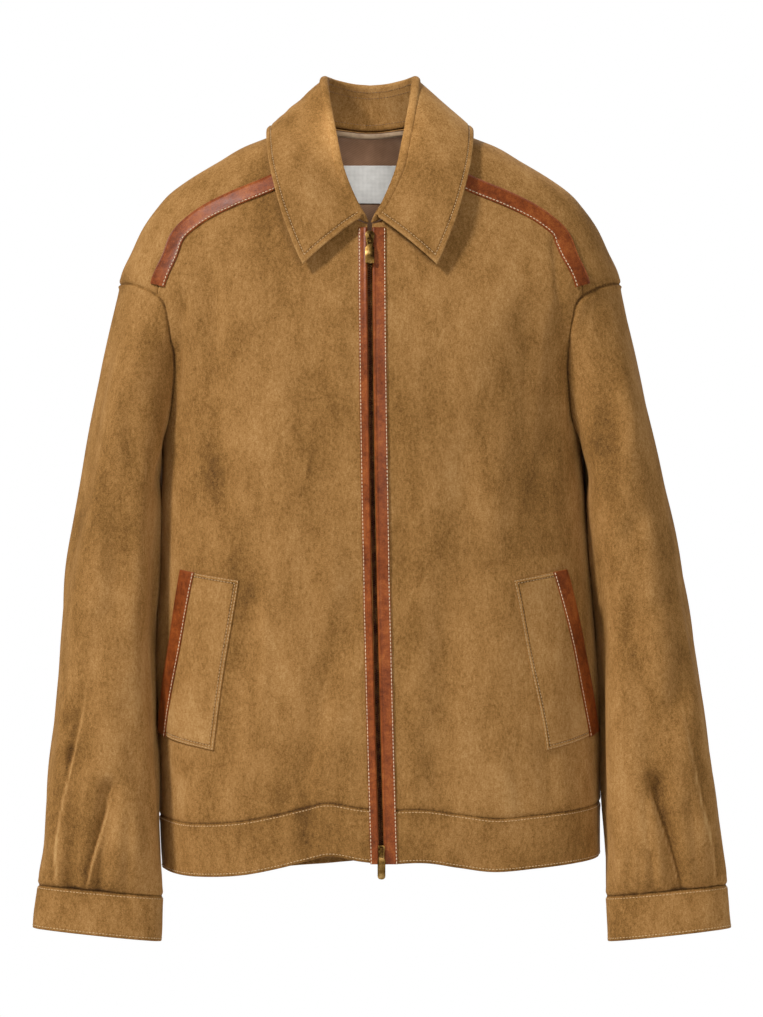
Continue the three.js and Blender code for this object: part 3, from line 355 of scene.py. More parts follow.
def angleAtX(x, z, face=1):      # the angle round the torso at a front-view x, in front (1) or behind (-1)
    x, z = np.asarray(x, float), np.asarray(z, float)
    power = smoothAt(torso["z"], torso["power"], z)
    depth = smoothAt(torso["z"], torso["front" if face > 0 else "back"], z)
    share = (np.abs(x) / smoothAt(torso["z"], torso["halfWidth"], z)) ** power
    return np.arctan2(x, face * depth * np.maximum(1 - share, 0) ** (1 / power))


def torsoPoint(angle, z, creased=True):
    angle, z = np.broadcast_arrays(np.asarray(angle, float), np.asarray(z, float))
    plain = torsoRadius(angle, z)
    face = np.where(np.cos(angle) > 0, 1, -1)
    fade = np.minimum(1, np.abs(np.cos(angle)) * 3)
    x = plain * np.sin(angle)
    depth = fade * foldDepth(torsoFolds, x, z, face)
    if creased:
        # not by the zip and the neck
        waving = np.clip((-z - 60) / 90, 0, 1) * np.clip(np.abs(x) / 30 - 0.2, 0, 1)
        depth = depth + fade * foldDepth(torsoCreases, x, z, face)
        depth = depth + waving * uneven(angle * 150, z * 0.5, 5, height=2.5)
    radius = plain - depth
    return np.stack([radius * np.sin(angle) + sway(z), -radius * np.cos(angle), z], -1)


def torsoNormal(angle, z):
    around = torsoPoint(angle + 0.01, z) - torsoPoint(angle - 0.01, z)
    up = torsoPoint(angle, z + 1.5) - torsoPoint(angle, z - 1.5)
    return unit(np.cross(around, up))


def torsoLifted(places, lift):
    angle, z = places[..., 0], places[..., 1]
    return torsoPoint(angle, z) + torsoNormal(angle, z) * np.asarray(lift)[..., None]


# Lines of places (angle, z) on the torso

def neckPlaces(around):
    around = np.asarray(around, float)
    depth = np.where(np.cos(around) > 0, neck["front"], neck["back"])
    x, y = neck["halfWidth"] * np.sin(around), -depth * np.cos(around)
    angle = np.arctan2(x, -y)
    low, high = np.full(angle.shape, -120.0), np.full(angle.shape, 11.0)
    for _ in range(18):
        middle = (low + high) / 2
        outside = torsoRadius(angle, middle) > np.hypot(x, y)
        low, high = np.where(outside, middle, low), np.where(outside, high, middle)
    return np.stack([angle, (low + high) / 2], -1)


def hemZ(angle):
    return smoothAt(hem["angle"], hem["z"], np.asarray(angle, float) / rad)


def placesFrom(points, face):
    x, z = np.array(points, float).T
    return np.stack([angleAtX(x, z, face), z], -1)


def along(places, shares):      # places at these shares of a seam's length
    points = torsoPoint(places[:, 0], places[:, 1], creased=False)
    lengths = np.concatenate([[0], np.cumsum(np.linalg.norm(np.diff(points, axis=0), axis=1))])
    return smoothAt(lengths, places, np.asarray(shares, float) * lengths[-1])


def mirrored(places, side):
    return places * np.array([side, 1])


topFront = placesFrom(armholeFront[:1], 1)
forwardSeam = np.concatenate([neckPlaces([neck["seamAround"]]), placesFrom(forwardSeamLine, 1), topFront])
topPlace, lowPlace = [[quarter, armholeTop]], [[quarter, underarm]]
frontArmhole = np.concatenate([placesFrom(armholeFront, 1), lowPlace])[::-1]
backArmhole = np.concatenate([topPlace, placesFrom(armholeBack, -1), lowPlace])[::-1]
overShoulder = np.concatenate([topPlace, placesFrom(overShoulderLine, 1), topFront])

# How many of a panel's steps run along each of its seams
seamSteps = {
    "sideSeam": 12, "frontArmhole": 10, "backArmhole": 11, "overShoulder": 5, "frontNeck": 6, "backNeck": 10,
}


def closeAtEnds(length, step=None):      # shares of a length, closer together at both ends
    count = max(2, round((length - 2 * near[-1]) / (step or seams["step"])) + 1)
    middle = np.linspace(near[-1], length - near[-1], count)
    return np.concatenate([near[:-1], middle, (length - near[:-1])[::-1]]) / length


def fineAtEnds(length, reach, fine, step):      # even fine steps near both ends, coarser between them
    beside = np.arange(0, reach, fine)
    middle = np.linspace(reach, length - reach, max(2, round((length - 2 * reach) / step) + 1))
    return np.concatenate([beside, middle, (length - beside)[::-1]]) / length


def closeAtSteps(length, steps, stops):      # the same, and it also stops where the pieces beside it change
    shares = closeAtEnds(length)
    extra = np.array([stop / steps for stop in stops])
    shares = shares[np.all(np.abs(shares[:, None] - extra[None]) > 1.2 / length, axis=1)]
    return np.sort(np.concatenate([shares, extra]))


def chain(shares, pieces, steps):      # pieces: (number of steps, places at shares of the piece)
    at = shares * steps
    start, found = 0, np.zeros(shares.shape + (2,))
    for count, placesAt in pieces:
        here = (at >= start - 1e-9) & (at <= start + count + 1e-9)
        found[here] = placesAt(np.clip((at[here] - start) / count, 0, 1))
        start += count
    return found


def sideSeamLine(low):
    return lambda share: np.stack([quarter + 0 * share, low + (underarm - low) * share], -1)


def patch(left, right, bottom, top, rowShares, columnShares):
    u, v = columnShares[None, :, None], rowShares[:, None, None]
    sides = (1 - u) * left[:, None] + u * right[:, None] + (1 - v) * bottom[None] + v * top[None]
    corners = (1 - v) * ((1 - u) * left[0] + u * right[0]) + v * ((1 - u) * left[-1] + u * right[-1])
    return sides - corners


def frontPlaces(side):
    steps = seamSteps["sideSeam"] + seamSteps["frontArmhole"]
    centre = steps - seamSteps["frontNeck"]
    rows = closeAtSteps(560, steps, (seamSteps["sideSeam"], centre))
    columns = closeAtEnds(210)
    low, sideLow = hemZ(0) + hemBandHeight, hemZ(side * 90 * rad) + hemBandHeight
    neckLow = neckPlaces([2 * rad])[0]
    edgeLow = np.array([angleAtX(frontEdge, low), low])

    def centreLine(share):
        z = low + (neckLow[1] - low) * share
        return np.stack([np.where(share >= 1, neckLow[0], angleAtX(frontEdge, z)), z], -1)

    left = chain(rows, [
        (centre, centreLine),
        (seamSteps["frontNeck"], lambda share: neckPlaces(2 * rad + (neck["seamAround"] - 2 * rad) * share)),
    ], steps)
    right = chain(rows, [
        (seamSteps["sideSeam"], sideSeamLine(sideLow)),
        (seamSteps["frontArmhole"], lambda share: along(frontArmhole, share)),
    ], steps)
    bottomAngle = edgeLow[0] + (quarter - edgeLow[0]) * columns
    bottom = np.stack([bottomAngle, hemZ(side * bottomAngle) + hemBandHeight], -1)
    bottom[0] = left[0]
    bottom[-1] = right[0]
    places = mirrored(patch(left, right, bottom, along(forwardSeam, columns), rows, columns), side)
    folded = rows <= centre / steps + 1e-9
    return (places if side > 0 else places[:, ::-1]), folded


def backPlaces(side):
    steps = seamSteps["sideSeam"] + seamSteps["backArmhole"] + seamSteps["overShoulder"]
    centre = steps - seamSteps["backNeck"]
    sideEnd = seamSteps["sideSeam"]
    rows = closeAtSteps(740, steps, (sideEnd, sideEnd + seamSteps["backArmhole"], centre))
    columns = closeAtEnds(225)
    columns = np.concatenate([[0], columns[columns * 225 > 3.9]])
    neckLow = neckPlaces([math.pi])[0]
    low, sideLow = hemZ(side * math.pi) + hemBandHeight, hemZ(side * quarter) + hemBandHeight
    left = chain(rows, [
        (centre, lambda share: np.stack([math.pi + 0 * share, low + (neckLow[1] - low) * share], -1)),
        (seamSteps["backNeck"], lambda share: neckPlaces(math.pi + (neck["seamAround"] - math.pi) * share)),
    ], steps)
    right = chain(rows, [
        (seamSteps["sideSeam"], sideSeamLine(sideLow)),
        (seamSteps["backArmhole"], lambda share: along(backArmhole, share)),
        (seamSteps["overShoulder"], lambda share: along(overShoulder, share)),
    ], steps)
    bottomAngle = math.pi + (quarter - math.pi) * columns
    bottom = np.stack([bottomAngle, hemZ(side * bottomAngle) + hemBandHeight], -1)
    places = mirrored(patch(left, right, bottom, along(forwardSeam, columns), rows, columns), side)
    shared = int(np.sum(rows < centre / steps - 1e-9))
    return (places[:, ::-1] if side > 0 else places), shared


# Meshes

def edgeDistances(grid):
    def lengths(points, axis):
        step = np.linalg.norm(np.diff(points, axis=axis), axis=-1)
        start = np.zeros_like(np.take(step, [0], axis))
        run = np.cumsum(np.concatenate([start, step], axis), axis)
        return run, np.take(run, [-1], axis) - run
    first, last = lengths(grid, 1)
    low, high = lengths(grid, 0)
    return {"first": first, "last": last, "low": low, "high": high}


def seamProfile(distance):
    return (-seams["dip"] * np.exp(-(distance / seams["dipWidth"]) ** 2)
            + seams["ridge"] * np.exp(-((distance - seams["ridgeAt"]) / seams["ridgeWidth"]) ** 2))


def roundEdge(distance, radius):      # how far a folded edge rounds off
    inside = np.clip(1 - distance / radius, 0, 0.98)
    return radius * (1 - np.sqrt(1 - inside**2))


def pulledIn(grid, gaps):      # pulls the named edges back, which leaves the gap of a seam
    moved = grid.copy()
    for edge, gap in gaps.items():
        if edge == "low":
            moved[0] += unit(grid[1] - grid[0]) * gap
        elif edge == "high":
            moved[-1] += unit(grid[-2] - grid[-1]) * gap
        elif edge == "first":
            moved[:, 0] += unit(grid[:, 1] - grid[:, 0]) * gap
        else:
            moved[:, -1] += unit(grid[:, -2] - grid[:, -1]) * gap
    return moved


def gridNormals(grid, around=False):
    if around:
        across = np.roll(grid, -1, 1) - np.roll(grid, 1, 1)
    else:
        across = np.gradient(grid, axis=1)
    return unit(np.cross(across, np.gradient(grid, axis=0)))


def gridQuads(rows, columns, around=False, start=0):
    row = np.arange(rows - 1)[:, None]
    column = np.arange(columns if around else columns - 1)[None]
    after = (column + 1) % columns
    here, above = row * columns, (row + 1) * columns
    corners = [here + column, here + after, above + after, above + column]
    shape = (rows - 1, column.shape[1])
    return np.stack([np.broadcast_to(corner, shape) for corner in corners], -1).reshape(-1, 4) + start


def makeMesh(name, points, faces, materials, slots=None, sharp=50):
    mesh = bpy.data.meshes.new(name)
    mesh.from_pydata((np.asarray(points) * mm).tolist(), [], [list(map(int, face)) for face in faces])
    mesh.validate()
    for material in materials:
        mesh.materials.append(material)
    if slots is not None:
        mesh.polygons.foreach_set("material_index", np.asarray(slots, np.int32))
    mesh.shade_smooth()
    mesh.set_sharp_from_angle(angle=sharp * rad)
    mesh.update()
    piece = bpy.data.objects.new(name, mesh)
    bpy.context.scene.collection.objects.link(piece)
    return piece


def shell(name, outer, inner, quads, materials):      # an outer skin, an inner skin and their rim
    count = len(outer)
    edges = np.concatenate([quads[:, [a, (a + 1) % 4]] for a in range(4)])
    keys = edges[:, 0] * count + edges[:, 1]
    rim = edges[~np.isin(keys, edges[:, 1] * count + edges[:, 0])]
    rimQuads = np.stack([rim[:, 1], rim[:, 0], rim[:, 0] + count, rim[:, 1] + count], -1)
    faces = np.concatenate([quads, rimQuads, quads[:, ::-1] + count])
    slots = np.concatenate([np.zeros(len(quads) + len(rimQuads)), np.full(len(quads), len(materials) - 1)])
    return makeMesh(name, np.concatenate([outer, inner]), faces, materials, slots)


def setPaintedShading(piece, paintedShading):      # painted light and shade: above 0 a painted highlight, below 0 painted shade in a seam or a hollow
    values = np.clip(np.concatenate([paintedShading.ravel(), paintedShading.ravel()]), -1.2, 1.2)
    piece.data.attributes.new("paintedShading", "FLOAT", "POINT").data.foreach_set("value", values.astype(np.float32))


def seamPaintedShade(*distances):      # painted shade: a dark line along a seam, and a broader shade round it
    return -sum(0.65 * np.exp(-(distance / 0.9) ** 2) + 0.12 * np.exp(-(distance / 9) ** 2)
                for distance in distances)


def hollowPaintedShade(places):      # painted shade in the hollows of the torso's folds
    point = torsoPoint(places[..., 0], places[..., 1])
    x, z, face = point[..., 0] - sway(point[..., 2]), point[..., 2], np.where(point[..., 1] < 0, 1, -1)
    return -0.035 * (foldDepth(torsoFolds, x, z, face) + foldDepth(torsoCreases, x, z, face))


def wallPiece(name, outer, inner, materials, around=False, paintedShading=None):
    rows, columns = outer.shape[:2]
    quads = gridQuads(rows, columns, around)
    piece = shell(name, outer.reshape(-1, 3), inner.reshape(-1, 3), quads, materials)
    # the painted light and shade, kept as an attribute that the suede reads
    if paintedShading is not None:
        setPaintedShading(piece, np.broadcast_to(paintedShading, (rows, columns)))
    return piece


def dress(piece, node, body="jacket"):
    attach(piece, body)
    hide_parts(node)
    return piece


# Materials

def colour(hexValue):      # sRGB hex to linear
    channels = [int(hexValue[i:i + 2], 16) / 255 for i in (1, 3, 5)]
    return tuple(c / 12.92 if c <= 0.04045 else ((c + 0.055) / 1.055) ** 2.4 for c in channels) + (1.0,)


def addNode(tree, kind, links=None, **settings):      # links are sockets or values, settings the node's own
    node = tree.nodes.new(kind)
    for name, value in settings.items():
        setattr(node, name, value)
    for name, value in (links or {}).items():
        if isinstance(value, bpy.types.NodeSocket):
            tree.links.new(value, node.inputs[name])
        else:
            node.inputs[name].default_value = value
    return node


def newMaterial(name, surface):
    material = bpy.data.materials.new(name)
    material.use_nodes = True
    tree = material.node_tree
    tree.nodes.clear()
    shader = addNode(tree, "ShaderNodeBsdfPrincipled", surface)
    out = addNode(tree, "ShaderNodeOutputMaterial", {"Surface": shader.outputs["BSDF"]})
    out.location = (400, 0)
    return material, tree, shader


def noiseAt(tree, place, size, detail=3, rough=0.55, stretch=(1, 1, 1)):      # size of a blotch, mm
    scale = tuple(share / (size * mm) for share in stretch)
    mapped = addNode(tree, "ShaderNodeMapping", {"Vector": place, "Scale": scale})
    return addNode(tree, "ShaderNodeTexNoise", {
        "Vector": mapped.outputs["Vector"], "Scale": 1.0, "Detail": detail, "Roughness": rough,
    }).outputs["Fac"]


def weigh(tree, terms):      # adds up socket * weight
    total = None
    for socket, weight in terms:
        node = addNode(tree, "ShaderNodeMath", {0: socket, 1: weight}, operation="MULTIPLY")
        total = node.outputs[0] if total is None else addNode(
            tree, "ShaderNodeMath", {0: total, 1: node.outputs[0]}, operation="ADD").outputs[0]
    return total


def rampOf(tree, factor, stops):
    ramp = addNode(tree, "ShaderNodeValToRGB", {"Fac": factor})
    while len(ramp.color_ramp.elements) < len(stops):
        ramp.color_ramp.elements.new(0.5)
    for element, (at, hexValue) in zip(ramp.color_ramp.elements, stops):
        element.position = at
        element.color = colour(hexValue)
    return ramp.outputs["Color"]


def bumps(tree, shader, layers):      # each layer: height socket, depth in millimetres, strength
    normal = None
    for height, depth, strength in layers:
        links = {"Height": height, "Distance": depth * mm, "Strength": strength}
        if normal is not None:
            links["Normal"] = normal
        normal = addNode(tree, "ShaderNodeBump", links).outputs["Normal"]
    tree.links.new(normal, shader.inputs["Normal"])


suedeLook = {
    "dark": "#523518", "shade": "#8a6230", "middle": "#a67a45", "light": "#c49c64",
    "blotch": 55, "smear": 15, "nap": 2.3, "fibre": 1.0,      # sizes of the mottling, down to the fibres
    "sheen": 0.1, "sheenColour": "#d8a86e",
}


# Split hide with a brushed nap: matt, mottled where the nap lies another way, with a soft sheen
def suede(name="suedeNap"):
    look = suedeLook
    material, tree, shader = newMaterial(name, {
        "Roughness": 0.92, "IOR": 1.45, "Specular IOR Level": 0.2, "Diffuse Roughness": 0.6,
        "Sheen Weight": look["sheen"], "Sheen Roughness": 0.45, "Sheen Tint": colour(look["sheenColour"]),
    })
    place = addNode(tree, "ShaderNodeTexCoord").outputs["Object"]
    blotch = noiseAt(tree, place, look["blotch"], 4, 0.6, (1, 1, 0.5))
    smear = noiseAt(tree, place, look["smear"], 4, 0.6, (1, 1, 0.45))
    nap = noiseAt(tree, place, look["nap"], 3, 0.65, (1, 1, 0.6))
    fibre = noiseAt(tree, place, look["fibre"], 2, 0.6)
    # painted light and shade from the pieces' own attribute, added into the tone
    paintedShading = addNode(tree, "ShaderNodeAttribute", attribute_name="paintedShading").outputs["Fac"]
    value = weigh(tree, [(blotch, 0.31), (smear, 0.23), (nap, 0.29), (fibre, 0.33), (paintedShading, 0.2)])
    tones = zip((0.36, 0.51, 0.61, 0.79), ("dark", "shade", "middle", "light"))
    shown = rampOf(tree, value, [(at, look[tone]) for at, tone in tones])
    tree.links.new(shown, shader.inputs["Base Color"])
    bumps(tree, shader, [(smear, 1.1, 0.35), (nap, 0.5, 0.5), (fibre, 0.25, 0.4)])
    return material


leatherLook = {
    "dark": "#5d2a10", "middle": "#86421b", "light": "#a65e2a",
    "cloud": 26, "pore": 1.1, "wrinkle": 4.5,      # sizes in millimetres
}


# Chrome-tanned calf, waxed: semi-gloss, darker in its pores, with a clouded colour
def leather(name="cognacLeather"):
    look = leatherLook
    material, tree, shader = newMaterial(name, {
        "Roughness": 0.4, "IOR": 1.45, "Specular IOR Level": 0.24,
        "Coat Weight": 0.03, "Coat Roughness": 0.3,
    })
    place = addNode(tree, "ShaderNodeTexCoord").outputs["Object"]
    cloud = noiseAt(tree, place, look["cloud"], 4, 0.6)
    wrinkle = noiseAt(tree, place, look["wrinkle"], 3, 0.6)
    mapped = addNode(tree, "ShaderNodeMapping", {"Vector": place, "Scale": (1 / (look["pore"] * mm),) * 3})
    cells = addNode(tree, "ShaderNodeTexVoronoi", {"Vector": mapped.outputs["Vector"], "Scale": 1.0})
    pores = cells.outputs["Distance"]
    value = weigh(tree, [(cloud, 0.5), (wrinkle, 0.36), (pores, 0.16)])
    shown = rampOf(tree, value, [(0.36, look["dark"]), (0.52, look["middle"]), (0.70, look["light"])])
    tree.links.new(shown, shader.inputs["Base Color"])
    rough = addNode(tree, "ShaderNodeMapRange", {"Value": wrinkle, "To Min": 0.32, "To Max": 0.52})
    tree.links.new(rough.outputs["Result"], shader.inputs["Roughness"])
    bumps(tree, shader, [(wrinkle, 0.35, 0.35), (pores, 0.12, 0.5)])
    return material


# Polyester satin: smooth floats of thread, so soft broad highlights and fine lines
def satin(name="satinLining"):
    material, tree, shader = newMaterial(name, {
        "Roughness": 0.38, "IOR": 1.5, "Specular IOR Level": 0.45,
        "Sheen Weight": 0.2, "Sheen Roughness": 0.3, "Sheen Tint": colour("#c9a98c"),
    })
    place = addNode(tree, "ShaderNodeTexCoord").outputs["Object"]
    soft = noiseAt(tree, place, 26, 3, 0.5, (1, 1, 0.6))
    mapped = addNode(tree, "ShaderNodeMapping", {"Vector": place, "Rotation": (0, 0.5, 0.3)})
    # Twill lines are drawn 0.9 mm apart, coarser than the real ones, so that they show
    lines = addNode(tree, "ShaderNodeTexWave", {
        "Vector": mapped.outputs["Vector"], "Scale": 1 / (0.9 * mm) / 6.3, "Distortion": 1.5, "Detail": 1.0,
    }, bands_direction="Z").outputs["Fac"]
    value = weigh(tree, [(soft, 0.9), (lines, 0.1)])
    shown = rampOf(tree, value, [(0.3, "#5f4431"), (0.52, "#806049"), (0.75, "#94745c")])
    tree.links.new(shown, shader.inputs["Base Color"])
    bumps(tree, shader, [(soft, 1.2, 0.3), (lines, 0.06, 0.4)])
    return material


def wovenCloth(name, dark, light, thread, rough=0.75):      # plain weave of dull thread
    material, tree, shader = newMaterial(name, {"Roughness": rough, "IOR": 1.5, "Specular IOR Level": 0.3})
    place = addNode(tree, "ShaderNodeTexCoord").outputs["Object"]
    wave = {"Vector": place, "Scale": 1 / (thread * mm) / 6.3, "Distortion": 0.4}
    warp = addNode(tree, "ShaderNodeTexWave", wave, bands_direction="X")
    weft = addNode(tree, "ShaderNodeTexWave", wave, bands_direction="Z")
    soft = noiseAt(tree, place, 8, 3)
    value = weigh(tree, [(warp.outputs["Fac"], 0.2), (weft.outputs["Fac"], 0.2), (soft, 0.6)])
    tree.links.new(rampOf(tree, value, [(0.3, dark), (0.65, light)]), shader.inputs["Base Color"])
    bumps(tree, shader, [(warp.outputs["Fac"], 0.15, 0.5), (weft.outputs["Fac"], 0.15, 0.5)])
    return material


# Cast and tumbled brass, darkened in its hollows and bright where it rubs
def brass(name="antiqueBrass", tones=("#3d2814", "#80602f", "#c9a56a")):
    material, tree, shader = newMaterial(name, {"Metallic": 1.0, "Roughness": 0.3})
    place = addNode(tree, "ShaderNodeTexCoord").outputs["Object"]
    patina = noiseAt(tree, place, 7, 3, 0.5)
    fine = noiseAt(tree, place, 0.6, 2)
    shown = rampOf(tree, weigh(tree, [(patina, 0.8), (fine, 0.2)]), list(zip((0.36, 0.5, 0.68), tones)))
    tree.links.new(shown, shader.inputs["Base Color"])
    rough = addNode(tree, "ShaderNodeMapRange", {"Value": patina, "To Min": 0.22, "To Max": 0.46})
    tree.links.new(rough.outputs["Result"], shader.inputs["Roughness"])
    bumps(tree, shader, [(fine, 0.02, 0.2)])
    return material


def thread(name, dark, light):      # twisted polyester sewing thread: soft shine, darker between the twists
    material, tree, shader = newMaterial(name, {
        "Roughness": 0.6, "Sheen Weight": 0.3, "Specular IOR Level": 0.35})
    place = addNode(tree, "ShaderNodeTexCoord").outputs["Object"]
    twist = noiseAt(tree, place, 0.7, 2)
    tree.links.new(rampOf(tree, twist, [(0.35, dark), (0.6, light)]), shader.inputs["Base Color"])
    bumps(tree, shader, [(twist, 0.1, 0.5)])
    return material


print("materials")
suedeNap = suede()
cognacLeather = leather()
satinLining = satin()
zipTape = wovenCloth("zipTapeWeave", "#4a2416", "#82452c", 0.7)
labelWeave = wovenCloth("labelWeave", "#b9b6b0", "#d8d5cf", 0.6, 0.65)
neckTapeCloth = wovenCloth("neckTapeCloth", "#8a6c52", "#b39a7c", 0.6, 0.5)
antiqueBrass = brass()
shadedBrass = brass("shadedBrass", ("#23140b", "#4a2f18", "#7d5a34"))      # the teeth are painted dark for the shade in the zip's gap
creamThread = thread("creamThread", "#c3a178", "#f0dcb8")
tanThread = thread("tanThread", "#a47c4c", "#dcb884")
brownThread = thread("brownThread", "#6f4d2a", "#9a7344")


# Body panels

def seamLift(*distances):      # the shape of the seams along these edges together
    return np.maximum(sum(seamProfile(distance) for distance in distances), -1.3)


def flatLift(places):
    return torsoLifted(places, np.zeros(places.shape[:2]))


def frontPanel(name, node, side):
    places, folded = frontPlaces(side)
    away = edgeDistances(flatLift(places))
    zipEdge, sideSeam = ("first", "last") if side > 0 else ("last", "first")
    onFold = folded[:, None]
    lift = seamLift(away["low"], away["high"], away[sideSeam], np.where(onFold, 50, away[zipEdge]))
    rounded = roundEdge(np.where(onFold, away[zipEdge], 50), 0.9)
    gaps = {"low": seams["gap"] / 2, "high": seams["gap"] / 2, sideSeam: seams["gap"] / 2}
    outer = pulledIn(torsoLifted(places, lift - rounded), gaps)
    inner = pulledIn(torsoLifted(places, rounded - seams["wall"]), gaps)
    # painted shade along the seams and in the hollows of the folds
    paintedShading = seamPaintedShade(away["low"], away["high"], away[sideSeam]) + hollowPaintedShade(places)
    return dress(wallPiece(name, outer, inner, [suedeNap, satinLining], paintedShading=paintedShading), node)


def backPanel():
    skins, (leftPlaces, shared) = [], backPlaces(1)
    for places, middle, sideSeam in ((leftPlaces, "last", "first"), (backPlaces(-1)[0], "first", "last")):
        away = edgeDistances(flatLift(places))
        atNeck = (np.arange(len(places)) > shared)[:, None]
        lift = seamLift(away["low"], away["high"], away[sideSeam], np.where(atNeck, away[middle], 50))
        gaps = {"low": seams["gap"] / 2, "high": seams["gap"] / 2, sideSeam: seams["gap"] / 2}
        # painted shade along the seams and in the hollows of the folds
        paintedShading = seamPaintedShade(away["low"], away["high"], away[sideSeam]) + hollowPaintedShade(places)
        skins.append((pulledIn(torsoLifted(places, lift), gaps),
                      pulledIn(torsoLifted(places, np.full(lift.shape, -seams["wall"])), gaps), paintedShading))
    rows, columns = leftPlaces.shape[:2]
    outer, inner = (np.concatenate([half[skin].reshape(-1, 3) for half in skins]) for skin in (0, 1))
    quads = np.concatenate([gridQuads(rows, columns), gridQuads(rows, columns, start=rows * columns)])
    point = np.arange(len(outer))
    row = np.arange(shared + 1)
    # the halves share the middle line
    point[rows * columns + row * columns] = row * columns + columns - 1
    quads = point[quads]
    used, renumbered = np.unique(quads, return_inverse=True)
    quads = renumbered.reshape(quads.shape)
    piece = shell("backPanel", outer[used], inner[used], quads, [suedeNap, satinLining])
    setPaintedShading(piece, np.concatenate([half[2].ravel() for half in skins])[used])
    return dress(piece, "back")


def bandTurn(height, angle):      # the band draws in below the body, in front and behind
    share = np.clip(np.abs(np.cos(angle)) * 1.3, 0, 1) * np.clip(np.abs(np.sin(angle)) * 4 - 0.6, 0, 1)
    return 4.0 * (1 - height / hemBandHeight) * share


def hemBandPiece():
    edge = float(angleAtX(frontEdge, float(hemZ(0))))
    turn = edge + (2 * math.pi - 2 * edge) * closeAtEnds(1240)
    angles = np.where(turn > math.pi, turn - 2 * math.pi, turn)
    heights = closeAtEnds(hemBandHeight, 4) * hemBandHeight
    z = hemZ(angles)[None] + heights[:, None]
    places = np.stack([np.broadcast_to(angles[None], z.shape), z], -1)
    away = edgeDistances(flatLift(places))
    rounded = roundEdge(away["low"], 1.0) + roundEdge(np.minimum(away["first"], away["last"]), 0.9)
    rounded = np.minimum(rounded, seams["wall"] / 2 - 0.05)
    turnedIn = bandTurn(heights[:, None], angles[None])
    outer = torsoLifted(places, seamLift(away["high"]) - rounded - turnedIn)
    inner = torsoLifted(places, rounded - seams["wall"] - turnedIn)
    gaps = {"high": seams["gap"] / 2}
    # painted shade: a line at the seam, the whole band a little darker, darker still along its lower edge,
    # and the hollows of the folds
    paintedShading = seamPaintedShade(away["high"]) - 0.12 - 0.3 * np.exp(-(away["low"] / 2.5) ** 2) + 1.6 * hollowPaintedShade(places)
    piece = wallPiece("hemBand", pulledIn(outer, gaps), pulledIn(inner, gaps), [suedeNap], paintedShading=paintedShading)
    return dress(piece, "hem_band")


print("body panels")
frontLeft = frontPanel("frontLeft", "front_left", 1)
frontRight = frontPanel("frontRight", "front_right", -1)
back = backPanel()
hemBand = hemBandPiece()


# Sleeves and cuffs

sleeveLook = {
    "over": 19, "front": 84, "back": 58,      # columns
    "soft": 2.9,      # height of the soft waves
    "tuck": 4.0,      # the seam allowance inside the body
}


def armholeLoop(side):      # from the top of the shoulder, forwards and down, then up the back
    look = sleeveLook
    over = along(overShoulder, np.linspace(0, 1, look["over"]))[:-1]
    front = along(frontArmhole, np.linspace(1, 0, look["front"]))
    behind = along(backArmhole, np.linspace(0, 1, look["back"]))[1:-1]
    return mirrored(np.concatenate([over, front, behind]), side), len(over) + len(front) - 1


def armholeAngles(loop, lowest):      # round the sleeve: 0 at the top, half a turn at the underarm
    points = torsoPoint(loop[:, 0], loop[:, 1], creased=False)
    steps = np.linalg.norm(np.roll(points, -1, 0) - points, axis=1)
    lengths = np.concatenate([[0], np.cumsum(steps)])
    whole, lengths = lengths[-1], lengths[:-1]
    return np.where(np.arange(len(loop)) <= lowest, math.pi * lengths / lengths[lowest],
                    math.pi * (1 + (lengths - lengths[lowest]) / (whole - lengths[lowest])))


def bent(value):
    return np.sign(value) * np.abs(value) ** (2 / sleevePower)


def ringPoints(rings, around, side):
    look = sleeveHang

    def read(name):
        return rings[name][:, None]

    def close(middle):
        return np.exp(-((around - middle) / hug["spread"]) ** 2)[None]

    across, forward = bent(np.cos(around))[None], bent(np.sin(around))[None]
    hugFront = read("hugLeft" if side > 0 else "hugRight")
    hugged = hugFront * close(hug["front"]) + read("hugBack") * close(hug["back"])
    outerX, innerX = read("outerX"), read("innerX")
    low = np.clip((look["from"] - read("innerZ")) / look["over"], 0, 1)
    if side > 0:
        fade = np.clip((read("innerZ") - look["cuff"]) / look["fade"], 0, 1)
        innerX = innerX - look["left"] * low * fade
    else:      # the wearer's right sleeve hangs closer to the body
        fade = np.clip((read("outerZ") - look["cuff"]) / look["fade"], 0, 1)
        innerX = innerX - look["right"] * low
        outerX = outerX - look["rightOuter"] * low * fade
    x = (outerX + innerX) / 2 + (outerX - innerX) / 2 * across - hugged
    z = (read("outerZ") + read("innerZ")) / 2 + (read("outerZ") - read("innerZ")) / 2 * across
    return np.stack([side * x + sway(z), read("middleY") - forward * read("halfDepth"), z], -1)


def restedOnBody(grid, side):      # below the underarm the sleeve's rings stay outside the body's outline
    look = sleeveHang
    angles = side * np.linspace(30, 150, 90) * rad
    for ring in grid:
        inner = side * ring[:, 0] < side * ring[:, 0].mean()
        height = ring[inner, 2].mean()
        if height < look["restBelow"]:
            body = torsoPoint(angles, height)
            least = np.interp(-ring[:, 1], -body[:, 1], side * body[:, 0]) + look["clear"]
            ring[inner, 0] = side * np.maximum(side * ring[inner, 0], least[inner])
    return grid


def levelled(normals):
    return unit(normals * np.array([1, 1, 0]))


